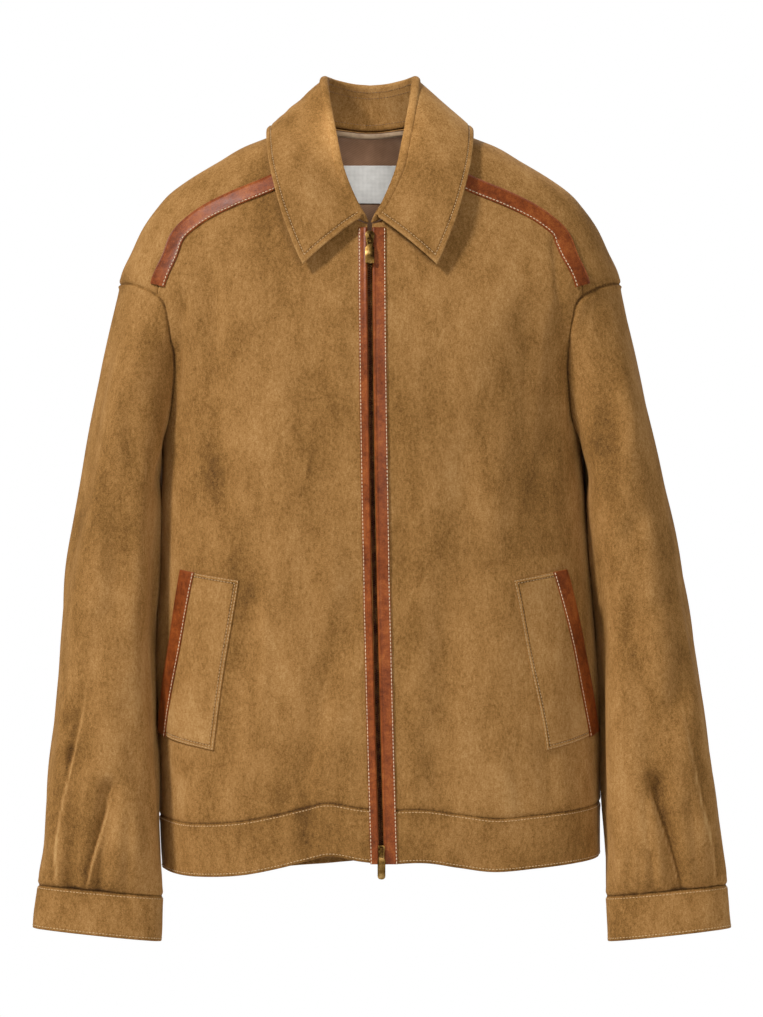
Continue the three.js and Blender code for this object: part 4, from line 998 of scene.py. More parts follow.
def sleevePiece(name, node, side):
    loop, lowest = armholeLoop(side)
    around = armholeAngles(loop, lowest)
    seam = torsoPoint(loop[:, 0], loop[:, 1])
    bodyNormals = torsoNormal(loop[:, 0], loop[:, 1])
    own = ringPoints(sleeveRings, around, side)
    follow = np.broadcast_to(seam[None], own.shape).copy()
    follow[..., 2] += (own[..., 2] - seam[None, :, 2]) / 2 * 0.4
    share = sleeveRings["share"][:, None, None]
    rings = follow * (1 - share) + own * share
    end = ringPoints(cuffRings, around, side)[0] + np.array([0, 0, seams["gap"]])
    away = unit(rings[0] - seam)
    first = seam + away * seams["gap"] + bodyNormals * 0.15 + np.array([side * seams["gap"], 0, 0])
    tucked = seam - away * sleeveLook["tuck"] - bodyNormals * 2.3      # the seam allowance, inside the body
    control = np.concatenate([tucked[None], first[None], rings, end[None]])
    lengths = np.linalg.norm(np.diff(control[1:], axis=0), axis=-1).mean(-1)
    keys = np.concatenate([[-sleeveLook["tuck"], 0], np.cumsum(lengths)])
    tuck = sleeveLook["tuck"]
    rows = np.concatenate([[-tuck, -tuck / 2], closeAtEnds(keys[-1]) * keys[-1]])
    grid = smoothAt(keys, control, rows)
    shares = smoothAt(keys, np.concatenate([[0.0, 0.0], sleeveRings["share"], [1.0]]), rows)[:, None]
    shares = np.clip(shares, 0, 1)
    face = np.where(np.sin(around) > 0, 1, -1)[None]
    z = grid[..., 2]
    plainX = side * (grid[..., 0] - sway(z))
    depth = foldDepth(sleeveFolds, plainX, z, face, side)
    depth = depth + shares * foldDepth(sleeveCreases, plainX, z, face, side)
    fromEnd = (keys[-1] - rows)[:, None]
    pleats, pleatShading = pleatDepth(plainX, z, side, fromEnd)
    # painted highlight and shade of the pleats in front, and painted shade in the hollows of the folds
    paintedShading = np.where(face > 0, pleatShading, 0) - 0.03 * depth * shares
    depth = depth + np.where(face > 0, pleats, 0)
    depth = depth * np.abs(np.sin(around))[None] * shares
    grid[..., 1] += bent(np.sin(around))[None] * depth
    grid, paintedShading = restedOnBody(grid, side)[::-1], paintedShading[::-1]
    fromCuff = (keys[-1] - rows[::-1])[:, None]
    turned = around
    if side > 0:
        grid, paintedShading, turned = grid[:, ::-1], paintedShading[:, ::-1], around[::-1]
    rows = rows[::-1][:, None]
    faded = np.clip(rows / 60, 0, 1) * np.clip(fromCuff / 40, 0, 1)
    normals = gridNormals(grid, True)
    waves = uneven(np.sin(turned)[None] * 110, rows * 0.8, 11 + side, longest=170, shortest=30, height=1.0)
    profile = seamProfile(rows) + seamProfile(fromCuff)
    outer = grid + normals * (np.maximum(profile, -1.2) + faded * sleeveLook["soft"] * waves)[..., None]
    normals = gridNormals(outer, True)
    normals[0] = levelled(normals[0])
    inner = outer - normals * seams["sleeveWall"]
    # painted shade along the armhole and cuff seams
    paintedShading = paintedShading + seamPaintedShade(np.abs(rows), fromCuff)
    return dress(wallPiece(name, outer, inner, [suedeNap, satinLining], True, paintedShading), node)


def cuffPiece(name, node, side):
    loop, lowest = armholeLoop(side)
    around = armholeAngles(loop, lowest)
    control = ringPoints(cuffRings, around, side)
    keys = np.concatenate([[0], np.cumsum(np.linalg.norm(np.diff(control, axis=0), axis=-1).mean(-1))])
    rows = closeAtEnds(keys[-1], 4) * keys[-1]
    grid = smoothAt(keys, control, rows)[::-1]
    if side > 0:
        grid, around = grid[:, ::-1], around[::-1]
    fromTop, fromLow = rows[::-1][:, None], (keys[-1] - rows[::-1])[:, None]
    normals = gridNormals(grid, True)
    normals[-1] = levelled(normals[-1])
    rounded = roundEdge(fromLow, 0.85)
    waves = uneven(np.sin(around)[None] * 90, fromTop, 21 + side, longest=60, shortest=18, height=0.45)
    waves = waves * np.clip(fromTop / 12, 0, 1)
    outer = grid + normals * (seamLift(fromTop) - rounded + waves)[..., None]
    inner = grid + normals * (rounded - seams["sleeveWall"] + waves)[..., None]
    # painted shade at the seam and along the lower edge, and painted light and shade following the soft
    # waves
    paintedShading = seamPaintedShade(fromTop) - 0.3 * np.exp(-(fromLow / 2.5) ** 2) + 0.15 * waves
    return dress(wallPiece(name, outer, inner, [suedeNap], True, paintedShading), node), outer


print("sleeves")
sleeveLeft = sleevePiece("sleeveLeft", "sleeve_left", 1)
sleeveRight = sleevePiece("sleeveRight", "sleeve_right", -1)
cuffLeft, cuffLeftSkin = cuffPiece("cuffLeft", "cuff_left", 1)
cuffRight, cuffRightSkin = cuffPiece("cuffRight", "cuff_right", -1)


# Collar

collarLook = {
    "around": 150, "stand": 14, "roll": 12, "leaf": 30,
    "stitchIn": 5.7, "groove": 0.75, "grooveWidth": 0.9, "edge": 1.1,      # topstitching along the leaf
}


def collarHalf(side):
    look = collarLook
    bare = 2 * rad + (math.pi - 2 * rad) * fineAtEnds(165, 9, 0.6, 165 / look["around"] * 1.4)
    around = np.concatenate([bare[bare < math.pi - 0.03], [math.pi]])

    def read(name):
        return smoothAt(collarLine["angle"], collarLine[name], around / rad)

    places = mirrored(neckPlaces(around), side)
    neckAt = torsoPoint(places[:, 0], places[:, 1], creased=False)
    roll = np.stack([side * read("rollX"), read("rollY"), read("rollZ")], -1)
    edge = np.stack([side * read("edgeX"), read("edgeY"), read("edgeZ")], -1)
    radius = read("rollRadius")[:, None]
    outwards = unit((edge - neckAt) * np.array([1, 1, 0]))
    seam = neckAt - outwards * (seams["collarWall"] / 2 + seams["gap"]) + np.array([0, 0, collarRaise])
    leaf = unit(edge - roll)
    radial = np.stack([side * np.sin(around), -np.cos(around), np.full(around.shape, 0.5)], -1)
    bulge = unit(radial - leaf * np.sum(radial * leaf, -1, keepdims=True)) * read("bulge")[:, None]
    rise = unit(np.array([0, 0, 1.0]) + outwards * 0.35)
    centre = roll - rise * radius
    aside = unit(outwards - rise * np.sum(outwards * rise, -1, keepdims=True))
    standTop, leafTop = centre - aside * radius, centre + aside * radius
    points = [seam + (standTop - seam) * step for step in np.linspace(0, 1, look["stand"], endpoint=False)]
    for turn in np.linspace(0, math.pi, look["roll"], endpoint=False):
        points.append(centre - aside * radius * math.cos(turn) + rise * radius * math.sin(turn))
    for step in fineAtEnds(55, 9, 0.5, 55 / look["leaf"] * 1.5):
        points.append(leafTop + (edge - leafTop) * step + bulge * math.sin(math.pi * step))
    return np.array(points)


def collarPiece():
    look = collarLook
    left, right = collarHalf(1), collarHalf(-1)
    grid = np.concatenate([left, right[:, ::-1][:, 1:]], 1)
    normals = gridNormals(grid)
    away = edgeDistances(grid)
    fromEdge = np.minimum(np.minimum(away["first"], away["last"]), away["high"])
    leafShare = np.clip((np.arange(len(grid)) - look["stand"] - look["roll"]) / 4, 0, 1)[:, None]
    fromSide = np.minimum(away["first"], away["last"])
    groove = np.exp(-((fromEdge - look["stitchIn"]) / look["grooveWidth"]) ** 2)
    pillow = np.exp(-((fromEdge - look["stitchIn"] / 2) / 2.2) ** 2) - 0.5 * groove
    half = seams["collarWall"] / 2
    rounded = np.minimum(roundEdge(np.minimum(away["high"], fromSide), look["edge"]), half - 0.08)
    waves = uneven(away["first"], away["high"] * 1.3, 31, longest=90, shortest=26, height=0.5) * leafShare
    soft = waves * np.clip(away["high"] / 20, 0, 1)
    hidden = grid + normals * (half - rounded - soft)[..., None]
    sewn = leafShare * (look["groove"] * groove - 0.25 * pillow)
    shown = grid - normals * (half - rounded - sewn + soft)[..., None]
    # lighter along the folded edge; painted shade in the stitch groove and at the neck seam, and painted
    # light and shade following the soft waves
    paintedShading = 0.35 * np.exp(-((fromEdge - 0.8) / 1.0) ** 2) - 0.7 * groove * leafShare
    paintedShading = paintedShading + 0.12 * soft + seamPaintedShade(away["low"])
    piece = wallPiece("collarFold", hidden, shown, [suedeNap], paintedShading=paintedShading)
    return dress(piece, "collar"), grid, shown


print("collar")
collar, collarGrid, collarShown = collarPiece()


# Leather strips, pockets and what shows inside the neck

strips = {
    "frontLeft": 11.9, "frontRight": 8.0,      # widths beside the zip
    "frontTop": -91.5,
    "shoulderWidth": 16.0, "shoulderFrom": 2 / 22, "shoulderTo": 21 / 22,      # shares of the shoulder seam
    "lie": 0.5, "wall": 1.5,      # how high the strip lies, and its thickness
    "roll": 0.75, "rollAt": 1.5, "rollWidth": 1.2, "stitchIn": 0.9, "stitchDip": 0.3,
}
pockets = {
    "innerTop": (50.5, -404), "outerTop": (67.5, -395), "innerLow": (59.5, -556), "outerLow": (80, -540),
    "length": 157, "width": 66,
    "low": 0.15, "inner": 1.5, "mouth": 2.5,      # heights: its back, its inner edge and its mouth
    "trimShare": 0.28, "trimWall": 1.3, "groove": 0.7, "grooves": (1.4, 3.8),
}
lining = {"halfAngle": 56 * rad, "below": 4, "bottomZ": -125, "behind": 2, "wall": 1.0, "wave": 0.8}
label = {"width": 50, "topZ": -26, "bottomZ": -60, "wall": 0.5, "behind": 1.5, "curl": 0.9, "lean": 0.5}
neckBinding = {"wider": 1.1, "behind": 2.6, "bow": 1.5, "low": -4.6, "height": 5.2, "wall": 0.8}


def facingOut(places):      # the columns run so that the faces look outwards
    grid = flatLift(places)
    facing = np.sum(gridNormals(grid) * torsoNormal(places[..., 0], places[..., 1]))
    return places if facing > 0 else places[:, ::-1]


def frontStripPlaces(side, width):
    low = float(hemZ(0))
    z = low + (strips["frontTop"] - low) * closeAtEnds(560, 4)
    x = frontEdge + seams["gap"] + width * np.linspace(0, 1, round(width / 0.45))
    x, z = np.meshgrid(x, z)
    return np.stack([side * angleAtX(x, z), z], -1)


def leatherStrip(name, node, places, zipColumn, seed):
    look = strips
    places = facingOut(places)
    away = edgeDistances(flatLift(places))
    folded, sewn = (away["first"], away["last"]) if zipColumn == "first" else (away["last"], away["first"])
    ends = np.minimum(away["low"], away["high"])
    roll = look["roll"] * np.exp(-((folded - look["rollAt"]) / look["rollWidth"]) ** 2)
    lift = look["lie"] + look["wall"] + roll
    lift = lift - look["stitchDip"] * np.exp(-((sewn - look["stitchIn"]) / 0.6) ** 2)
    lift = lift + uneven(folded * 2, away["low"] * 0.6, seed, longest=40, shortest=9, height=0.16)
    lift = lift - roundEdge(folded, 1.5) - roundEdge(sewn, 0.5) - 0.6 * roundEdge(ends, 0.6)
    low = look["lie"] + 0.3 * roundEdge(folded, 1.2)
    lift = np.maximum(lift, low + 0.15)
    piece = wallPiece(name, torsoLifted(places, lift), torsoLifted(places, low), [cognacLeather])
    return dress(piece, node)


def acrossLine(line, distance):      # moves a line of places on the torso sideways by a distance
    angle, z = line[:, 0], line[:, 1]
    run = unit(np.gradient(torsoPoint(angle, z, creased=False), axis=0))
    aim = unit(np.cross(torsoNormal(angle, z), run)) * distance
    around = (torsoPoint(angle + 0.01, z, False) - torsoPoint(angle - 0.01, z, False)) / 0.02
    up = (torsoPoint(angle, z + 1, False) - torsoPoint(angle, z - 1, False)) / 2
    rounds, mixed, ups = (np.sum(a * b, -1) for a, b in ((around, around), (around, up), (up, up)))
    roundAim, upAim = np.sum(around * aim, -1), np.sum(up * aim, -1)
    scale = rounds * ups - mixed * mixed
    turn = (roundAim * ups - upAim * mixed) / scale
    return np.stack([angle + turn, z + (upAim * rounds - roundAim * mixed) / scale], -1)


def shoulderPlaces(side):
    line = mirrored(along(forwardSeam, np.linspace(strips["shoulderFrom"], strips["shoulderTo"], 60)), side)
    offsets = np.linspace(-0.5, 0.5, 33) * strips["shoulderWidth"]
    return np.stack([acrossLine(line, offset * side) for offset in offsets])


def shoulderStrip(name, node, side, seed):
    look = strips
    places = facingOut(shoulderPlaces(side))
    away = edgeDistances(flatLift(places))
    lift = look["lie"] + look["wall"] + 0.3 - 0.4 * np.exp(-((away["low"] - 1.2) / 0.7) ** 2)
    lift = lift - 0.5 * np.exp(-((away["high"] - 1.5) / 0.6) ** 2)
    lift = lift + uneven(away["low"], away["first"], seed, longest=40, shortest=9, height=0.18)
    lift = lift - roundEdge(away["low"], 0.7) - roundEdge(away["high"], 0.7)
    low = np.full(lift.shape, look["lie"])
    lift = np.maximum(lift, low + 0.2)
    piece = wallPiece(name, torsoLifted(places, lift), torsoLifted(places, low), [cognacLeather])
    return dress(piece, node)


def pocketPlaces(side, across, rows):      # across: 0 at the inner edge, 1 at the mouth
    up, over = rows[:, None, None], across[None, :, None]
    inner = np.array(pockets["innerLow"]) * (1 - up) + np.array(pockets["innerTop"]) * up
    outer = np.array(pockets["outerLow"]) * (1 - up) + np.array(pockets["outerTop"]) * up
    places = inner * (1 - over) + outer * over
    return places * np.array([side * rad, 1])


def pocketWelt(name, node, side, seed):
    look = pockets
    across, rows = fineAtEnds(look["width"], 8, 0.45, 2.5), fineAtEnds(look["length"], 8, 0.45, 2.5)
    places = facingOut(pocketPlaces(side, across, rows))
    over = across[None] if side > 0 else across[::-1][None]
    away = edgeDistances(flatLift(places))
    innerEdge = away["first"] if side > 0 else away["last"]
    outline = np.minimum(np.minimum(away["low"], away["high"]), innerEdge)
    lift = look["inner"] + (look["mouth"] - look["inner"]) * over**1.5 + 0 * outline
    for at in look["grooves"]:
        lift = lift - look["groove"] * np.exp(-((outline - at) / 0.6) ** 2)
    lift = lift + 0.3 * np.exp(-((outline - sum(look["grooves"]) / 2) / 1.3) ** 2)
    lift = lift + uneven(away["first"], away["low"], seed, longest=60, shortest=20, height=0.1)
    lift = np.minimum(lift, look["mouth"]) - roundEdge(outline, 0.8)
    low = np.full(lift.shape, look["low"])
    lift = np.maximum(lift, low + 0.2)
    # a little lighter overall, with painted shade in the outer stitch groove and along the welt's edge
    paintedShading = 0.2 - np.exp(-((outline - look["grooves"][1]) / 0.7) ** 2) - 0.5 * np.exp(-(outline / 0.6) ** 2)
    piece = wallPiece(name, torsoLifted(places, lift), torsoLifted(places, low), [suedeNap], paintedShading=paintedShading)
    return dress(piece, node)


def pocketStrip(name, node, side, seed):
    look = pockets
    across = 1 - look["trimShare"] + look["trimShare"] * np.linspace(0, 1, 24)
    places = facingOut(pocketPlaces(side, across, closeAtEnds(152, 3)))
    away = edgeDistances(flatLift(places))
    inner, mouth = (away["first"], away["last"]) if side > 0 else (away["last"], away["first"])
    low = look["mouth"] + 0.05 + 0 * inner
    ends = np.minimum(away["low"], away["high"])
    lift = low + look["trimWall"] + 0.35 * np.exp(-((mouth - 3) / 2.6) ** 2)
    lift = lift - 0.4 * np.exp(-((inner - 1.0) / 0.6) ** 2)
    lift = lift + uneven(inner, away["low"], seed, longest=36, shortest=9, height=0.2)
    lift = lift - roundEdge(mouth, 1.5) - roundEdge(inner, 0.5) - roundEdge(ends, 0.6)
    lift = np.maximum(lift, low + 0.15)
    piece = wallPiece(name, torsoLifted(places, lift), torsoLifted(places, low), [cognacLeather])
    return dress(piece, node)


def liningPiece():
    look = lining
    turn = np.linspace(-1, 1, 70) * look["halfAngle"] + math.pi
    angle = np.where(turn > math.pi, turn - 2 * math.pi, turn)
    top = neckPlaces(angle)[:, 1] - look["below"]
    share = np.linspace(0, 1, 40)[:, None]
    z = look["bottomZ"] + (top - look["bottomZ"]) * share
    places = np.stack([np.broadcast_to(angle, z.shape), z], -1)
    fall = np.clip((1 - share) * 1.5, 0, 1)
    wave = look["wave"] * fall * uneven((turn - math.pi)[None] * 60, z * 0.25, 41, longest=60, shortest=16)
    out = -seams["wall"] - look["behind"] + np.minimum(wave, 1.2)
    shown, hidden = torsoLifted(places, out), torsoLifted(places, out - look["wall"])
    piece = wallPiece("neckLining", shown, hidden, [satinLining])
    return dress(piece, "neck_lining")


def labelPiece():
    look = label
    turn, share = np.linspace(1, -1, 24)[None], np.linspace(0, 1, 14)[:, None]
    z = look["bottomZ"] + (look["topZ"] - look["bottomZ"]) * share + 0 * turn
    x = turn * look["width"] / 2 + 0 * share
    places = np.stack([angleAtX(x, z, -1), z], -1)
    curl = look["curl"] * (np.abs(turn) ** 6 + 0 * share) * (1 - share) + look["lean"] * (1 - share) ** 4
    out = -seams["wall"] - lining["behind"] - lining["wall"] - look["behind"] - curl
    shown, hidden = torsoLifted(places, out), torsoLifted(places, out - look["wall"])
    piece = wallPiece("neckLabel", shown, hidden, [labelWeave])
    return dress(piece, "neck_label")


def neckTapePiece():      # the bound seam between the collar and the lining at the back of the neck
    look = neckBinding
    turn = np.linspace(-1, 1, 80) * lining["halfAngle"] * look["wider"] + math.pi
    angle = np.where(turn > math.pi, turn - 2 * math.pi, turn)
    spots = neckPlaces(angle)
    rows = []
    for share in np.linspace(0, 1, 9):
        lift = -seams["wall"] - look["behind"] - look["bow"] * math.sin(math.pi * share)
        places = spots + np.array([0, look["low"] + look["height"] * share])
        rows.append(torsoLifted(places, np.full(len(places), lift)))
    inner = np.array(rows)
    outer = inner + np.array([0, look["wall"], 0])
    piece = wallPiece("neckTape", outer, inner, [neckTapeCloth])
    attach(piece, "jacket")
    return piece


print("strips, pockets, neck")
leftPlaces = frontStripPlaces(1, strips["frontLeft"])
rightPlaces = frontStripPlaces(-1, strips["frontRight"])
frontTrimLeft = leatherStrip("frontTrimLeft", "front_trim_left", leftPlaces, "first", 51)
frontTrimRight = leatherStrip("frontTrimRight", "front_trim_right", rightPlaces, "last", 52)
shoulderTrimLeft = shoulderStrip("shoulderTrimLeft", "shoulder_trim_left", 1, 53)
shoulderTrimRight = shoulderStrip("shoulderTrimRight", "shoulder_trim_right", -1, 54)
pocketWeltLeft = pocketWelt("pocketWeltLeft", "pocket_welt_left", 1, 55)
pocketWeltRight = pocketWelt("pocketWeltRight", "pocket_welt_right", -1, 56)
pocketTrimLeft = pocketStrip("pocketTrimLeft", "pocket_trim_left", 1, 57)
pocketTrimRight = pocketStrip("pocketTrimRight", "pocket_trim_right", -1, 58)
neckLining = liningPiece()
neckLabel = labelPiece()
neckTape = neckTapePiece()


# Zip: tape, teeth, sliders and pull tabs

zipLook = {
    "low": -653.5, "high": -92.5,      # the ends of the tape
    "tapeHalf": 13, "tapeTop": -2.8, "tapeBottom": -3.6,
    "pitch": 2.0, "tooth": (2.7, 1.7, 1.15),      # width, depth and height
    "toothX": 1.15, "toothLift": -1.7, "toothFrom": 13, "toothTo": 10,      # the sliders hide the rest
    "bevel": 0.2,      # the worn edge of sliders and pulls
}


def zipTapePiece():
    look = zipLook
    z = np.linspace(look["low"], look["high"], 150)[:, None]
    x = np.linspace(-look["tapeHalf"], look["tapeHalf"], 14)[None]
    places = np.stack([angleAtX(x + 0 * z, z + 0 * x), z + 0 * x], -1)
    flat = np.ones(places.shape[:2])
    outer, inner = (torsoLifted(places, flat * look[name]) for name in ("tapeTop", "tapeBottom"))
    piece = wallPiece("zipTape", outer, inner, [zipTape])
    return dress(piece, "zip")


def newTree(name, inputs):
    tree = bpy.data.node_groups.new(name, "GeometryNodeTree")
    tree.interface.new_socket("Lines", in_out="INPUT", socket_type="NodeSocketGeometry")
    for inputName, value in inputs.items():
        kind = "NodeSocketMaterial" if value is None else "NodeSocketFloat"
        socket = tree.interface.new_socket(inputName, in_out="INPUT", socket_type=kind)
        if value is not None:
            socket.default_value = value
    tree.interface.new_socket("Geometry", in_out="OUTPUT", socket_type="NodeSocketGeometry")
    return tree, addNode(tree, "NodeGroupInput").outputs


def spacedAlong(tree, given, instance):      # the instance, turned to run along the lines, at the pitch
    curve = addNode(tree, "GeometryNodeMeshToCurve", {"Mesh": given["Lines"]})
    spaced = addNode(tree, "GeometryNodeResampleCurve", {
        "Curve": curve.outputs["Curve"], "Length": given["Pitch"]}, mode="LENGTH")
    tangent = addNode(tree, "GeometryNodeInputTangent").outputs["Tangent"]
    turned = addNode(tree, "FunctionNodeAlignRotationToVector", {"Vector": tangent}, axis="Z")
    placed = addNode(tree, "GeometryNodeInstanceOnPoints", {
        "Points": spaced.outputs["Curve"], "Instance": instance, "Rotation": turned.outputs["Rotation"]})
    real = addNode(tree, "GeometryNodeRealizeInstances", {"Geometry": placed.outputs["Instances"]})
    smooth = addNode(tree, "GeometryNodeSetShadeSmooth", {"Geometry": real.outputs["Geometry"]})
    painted = addNode(tree, "GeometryNodeSetMaterial", {
        "Geometry": smooth.outputs[0], "Material": given["Finish"]})
    addNode(tree, "NodeGroupOutput", {"Geometry": painted.outputs["Geometry"]})


def stitchTree():      # a thread shows above the hide as a short rounded pad between two needle holes
    tree, given = newTree("stitchRun", {
        "Pitch": 0.0033, "Stitch length": 0.0025, "Thread radius": 0.0004, "Finish": None})
    pad = addNode(tree, "GeometryNodeMeshUVSphere", {"Segments": 6, "Rings": 5, "Radius": 1.0})
    half = addNode(tree, "ShaderNodeMath", {0: given["Stitch length"], 1: 0.5}, operation="MULTIPLY")
    scale = addNode(tree, "ShaderNodeCombineXYZ", {
        "X": given["Thread radius"], "Y": given["Thread radius"], "Z": half.outputs[0]})
    shaped = addNode(tree, "GeometryNodeTransform", {
        "Geometry": pad.outputs["Mesh"], "Scale": scale.outputs[0]})
    spacedAlong(tree, given, shaped.outputs["Geometry"])
    return tree


def toothTree():      # a stamped tooth is a small block with its edges rounded
    tree, given = newTree("zipTeeth", {
        "Pitch": 0.002, "Width": 0.0027, "Depth": 0.0017, "Height": 0.00115, "Finish": None})
    size = addNode(tree, "ShaderNodeCombineXYZ", {
        "X": given["Width"], "Y": given["Depth"], "Z": given["Height"]})
    block = addNode(tree, "GeometryNodeMeshCube", {"Size": size.outputs[0]})
    rounded = addNode(tree, "GeometryNodeSubdivisionSurface", {
        "Mesh": block.outputs["Mesh"], "Level": 1, "Edge Crease": 0.35})
    spacedAlong(tree, given, rounded.outputs["Mesh"])
    return tree


def linesMesh(name, lines):
    points = np.concatenate(lines)
    edges, start = [], 0
    for line in lines:
        edges += [(start + index, start + index + 1) for index in range(len(line) - 1)]
        start += len(line)
    mesh = bpy.data.meshes.new(name)
    mesh.from_pydata((points * mm).tolist(), edges, [])
    piece = bpy.data.objects.new(name, mesh)
    bpy.context.scene.collection.objects.link(piece)
    return piece


def grown(name, lines, tree, values):      # runs the tree on the lines and keeps the plain mesh
    piece = linesMesh(name, lines)
    modifier = piece.modifiers.new("grow", "NODES")
    modifier.node_group = tree
    for socket in tree.interface.items_tree:
        if socket.in_out == "INPUT" and socket.name in values:
            modifier[socket.identifier] = values[socket.name]
    bpy.context.view_layer.update()
    mesh = bpy.data.meshes.new_from_object(piece.evaluated_get(bpy.context.evaluated_depsgraph_get()))
    bpy.data.objects.remove(piece)
    return mesh


def joined(name, meshes):      # meshes: (mesh, finish)
    together = bmesh.new()
    mesh = bpy.data.meshes.new(name)
    for index, (part, finish) in enumerate(meshes):
        start = len(together.faces)
        together.from_mesh(part)
        together.faces.ensure_lookup_table()
        for face in together.faces[start:]:
            face.material_index = index
        mesh.materials.append(finish)
    together.to_mesh(mesh)
    together.free()
    piece = bpy.data.objects.new(name, mesh)
    bpy.context.scene.collection.objects.link(piece)
    return piece


def zipTeethPiece():
    look, lines = zipLook, []
    for side in (-1, 1):
        start = look["low"] + look["toothFrom"] + side * look["pitch"] / 4      # the two rows interlock
        z = np.arange(start, look["high"] - look["toothTo"], 4)
        x = np.full(z.shape, side * look["toothX"])
        lines.append(torsoLifted(np.stack([angleAtX(x, z), z], -1), np.full(z.shape, look["toothLift"])))
    sizes = dict(zip(("Pitch", "Width", "Depth", "Height"), (look["pitch"],) + look["tooth"]))
    values = {name: value * mm for name, value in sizes.items()}
    mesh = grown("teethLines", lines, toothTree(), {**values, "Finish": shadedBrass})
    piece = joined("zipTeeth", [(mesh, shadedBrass)])
    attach(piece, "jacket")
    return piece


def bevelledCopy(name, node, body):      # the CAD solid as one mesh with its edges worn round
    shape = bmesh.new()
    shape.from_mesh(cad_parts[node].data)
    bmesh.ops.remove_doubles(shape, verts=shape.verts, dist=0.00001)
    bmesh.ops.dissolve_limit(shape, angle_limit=2 * rad, verts=shape.verts, edges=shape.edges)
    hard = [edge for edge in shape.edges if len(edge.link_faces) == 2 and edge.calc_face_angle() > 25 * rad]
    bmesh.ops.bevel(shape, geom=hard, offset=zipLook["bevel"] * mm, offset_type="OFFSET", segments=2,
                    profile=0.5, affect="EDGES", clamp_overlap=True)
    mesh = bpy.data.meshes.new(name)
    shape.to_mesh(mesh)
    shape.free()
    mesh.materials.append(antiqueBrass)
    mesh.shade_smooth()
    mesh.set_sharp_from_angle(angle=40 * rad)
    piece = bpy.data.objects.new(name, mesh)
    bpy.context.scene.collection.objects.link(piece)
    return dress(piece, node, body)


print("zip")
zipTapeBand = zipTapePiece()
zipTeethPiece()
bevelledCopy("sliderTop", "zip_slider_top", "jacket")
bevelledCopy("sliderBottom", "zip_slider_bottom", "jacket")
bevelledCopy("pullTop", "zip_pull_top", "pull_top")
bevelledCopy("pullBottom", "zip_pull_bottom", "pull_bottom")


# Stitching

threads = {
    "cream": {"Pitch": 3.3, "Stitch length": 2.5, "Thread radius": 0.42},
    "tan": {"Pitch": 3.0, "Stitch length": 2.2, "Thread radius": 0.38},
    "brown": {"Pitch": 2.9, "Stitch length": 2.2, "Thread radius": 0.3},
}
sewing = {
    "hem": (hemBandHeight - 2.4, 2.6),      # heights above the band's lower edge
    "cuffRows": (-5, 4),                    # rows of the cuff's mesh, below the seam and above the edge
    "stand": (0.80, 0.93),                  # shares of the collar stand
    "pocketEnd": 2, "pocketIn": 1.1,        # the cream row beside the leather at the mouth
}


def onTorso(places, lift):
    return torsoLifted(places, np.full(len(places), float(lift)))


def frontStripLine(side, width):
    z = np.linspace(float(hemZ(0)) + 1.5, strips["frontTop"] - 2, 140)
    x = frontEdge + seams["gap"] + width - strips["stitchIn"] + 0 * z
    lift = strips["lie"] + strips["wall"] - strips["stitchDip"] + 0.15
    return onTorso(np.stack([side * angleAtX(x, z), z], -1), lift)


def shoulderLine(side, offset):
    shares = np.linspace(strips["shoulderFrom"] + 0.01, strips["shoulderTo"] - 0.01, 60)
    line = mirrored(along(forwardSeam, shares), side)
    return onTorso(acrossLine(line, side * offset), strips["lie"] + strips["wall"] + 0.15)


def pocketLine(side, corners, lift):      # corners: distances from the inner edge and from the bottom
    across, rows = np.array(corners, float).T / np.array([[pockets["width"]], [pockets["length"]]])
    legs = len(corners) - 1
    run = np.concatenate([np.linspace(0, 1, 40)[:-1] + index for index in range(legs)] + [[legs]])
    at = np.arange(len(corners))
    over, up = np.interp(run, at, across)[:, None], np.interp(run, at, rows)[:, None]
    inner = np.array(pockets["innerLow"]) * (1 - up) + np.array(pockets["innerTop"]) * up
    outer = np.array(pockets["outerLow"]) * (1 - up) + np.array(pockets["outerTop"]) * up
    places = (inner * (1 - over) + outer * over) * np.array([side * rad, 1])
    if lift is None:      # in the groove of the welt, which rises towards the mouth
        rise = (pockets["mouth"] - pockets["inner"]) * over[:, 0] ** 1.5
        lift = pockets["inner"] + rise - pockets["groove"] + 0.3
    return torsoLifted(places, lift + 0 * over[:, 0])


def crossing(grid, distances, value):      # down each column, where the distance passes the value
    found = []
    for column in range(grid.shape[1]):
        order = np.argsort(distances[:, column])
        away, line = distances[order, column], grid[order, column]
        found.append([np.interp(value, away, line[:, axis]) for axis in range(3)])
    return np.array(found)


def collarLines():
    away = edgeDistances(collarGrid)
    leafStart = collarLook["stand"] + collarLook["roll"]
    at = collarLook["stitchIn"]
    leaf = slice(leafStart + 1, None)
    shown = collarShown - gridNormals(collarGrid) * 0.12
    inside = (away["first"][-1] > at) & (away["last"][-1] > at)
    lower = crossing(shown[leaf][:, inside], away["high"][leaf][:, inside], at)
    rows = away["high"][leaf, 0] > at
    half = shown.shape[1] // 2
    lines = [lower]
    for columns, name in ((slice(0, half), "first"), (slice(half, None), "last")):
        side = np.swapaxes(shown[leaf][rows][:, columns], 0, 1)
        lines.append(crossing(side, np.swapaxes(away[name][leaf][rows][:, columns], 0, 1), at))
    stand = []
    for share in sewing["stand"]:
        row = round(share * collarLook["stand"])
        keep = (away["first"][row] > 8) & (away["last"][row] > 8)
        stand.append(shown[row][keep])
    seamRow = shown[2][(away["first"][2] > 12) & (away["last"][2] > 12)]
    return lines, stand + [seamRow]


def hemLine(at):
    edge = float(angleAtX(frontEdge, float(hemZ(0)))) + 0.08
    turn = np.linspace(edge, 2 * math.pi - edge, 420)
    angles = np.where(turn > math.pi, turn - 2 * math.pi, turn)
    return torsoLifted(np.stack([angles, hemZ(angles) + at], -1), 0.12 - bandTurn(at, angles))


def cuffLine(skin, row):
    return np.concatenate([skin[row], skin[row][:1]])


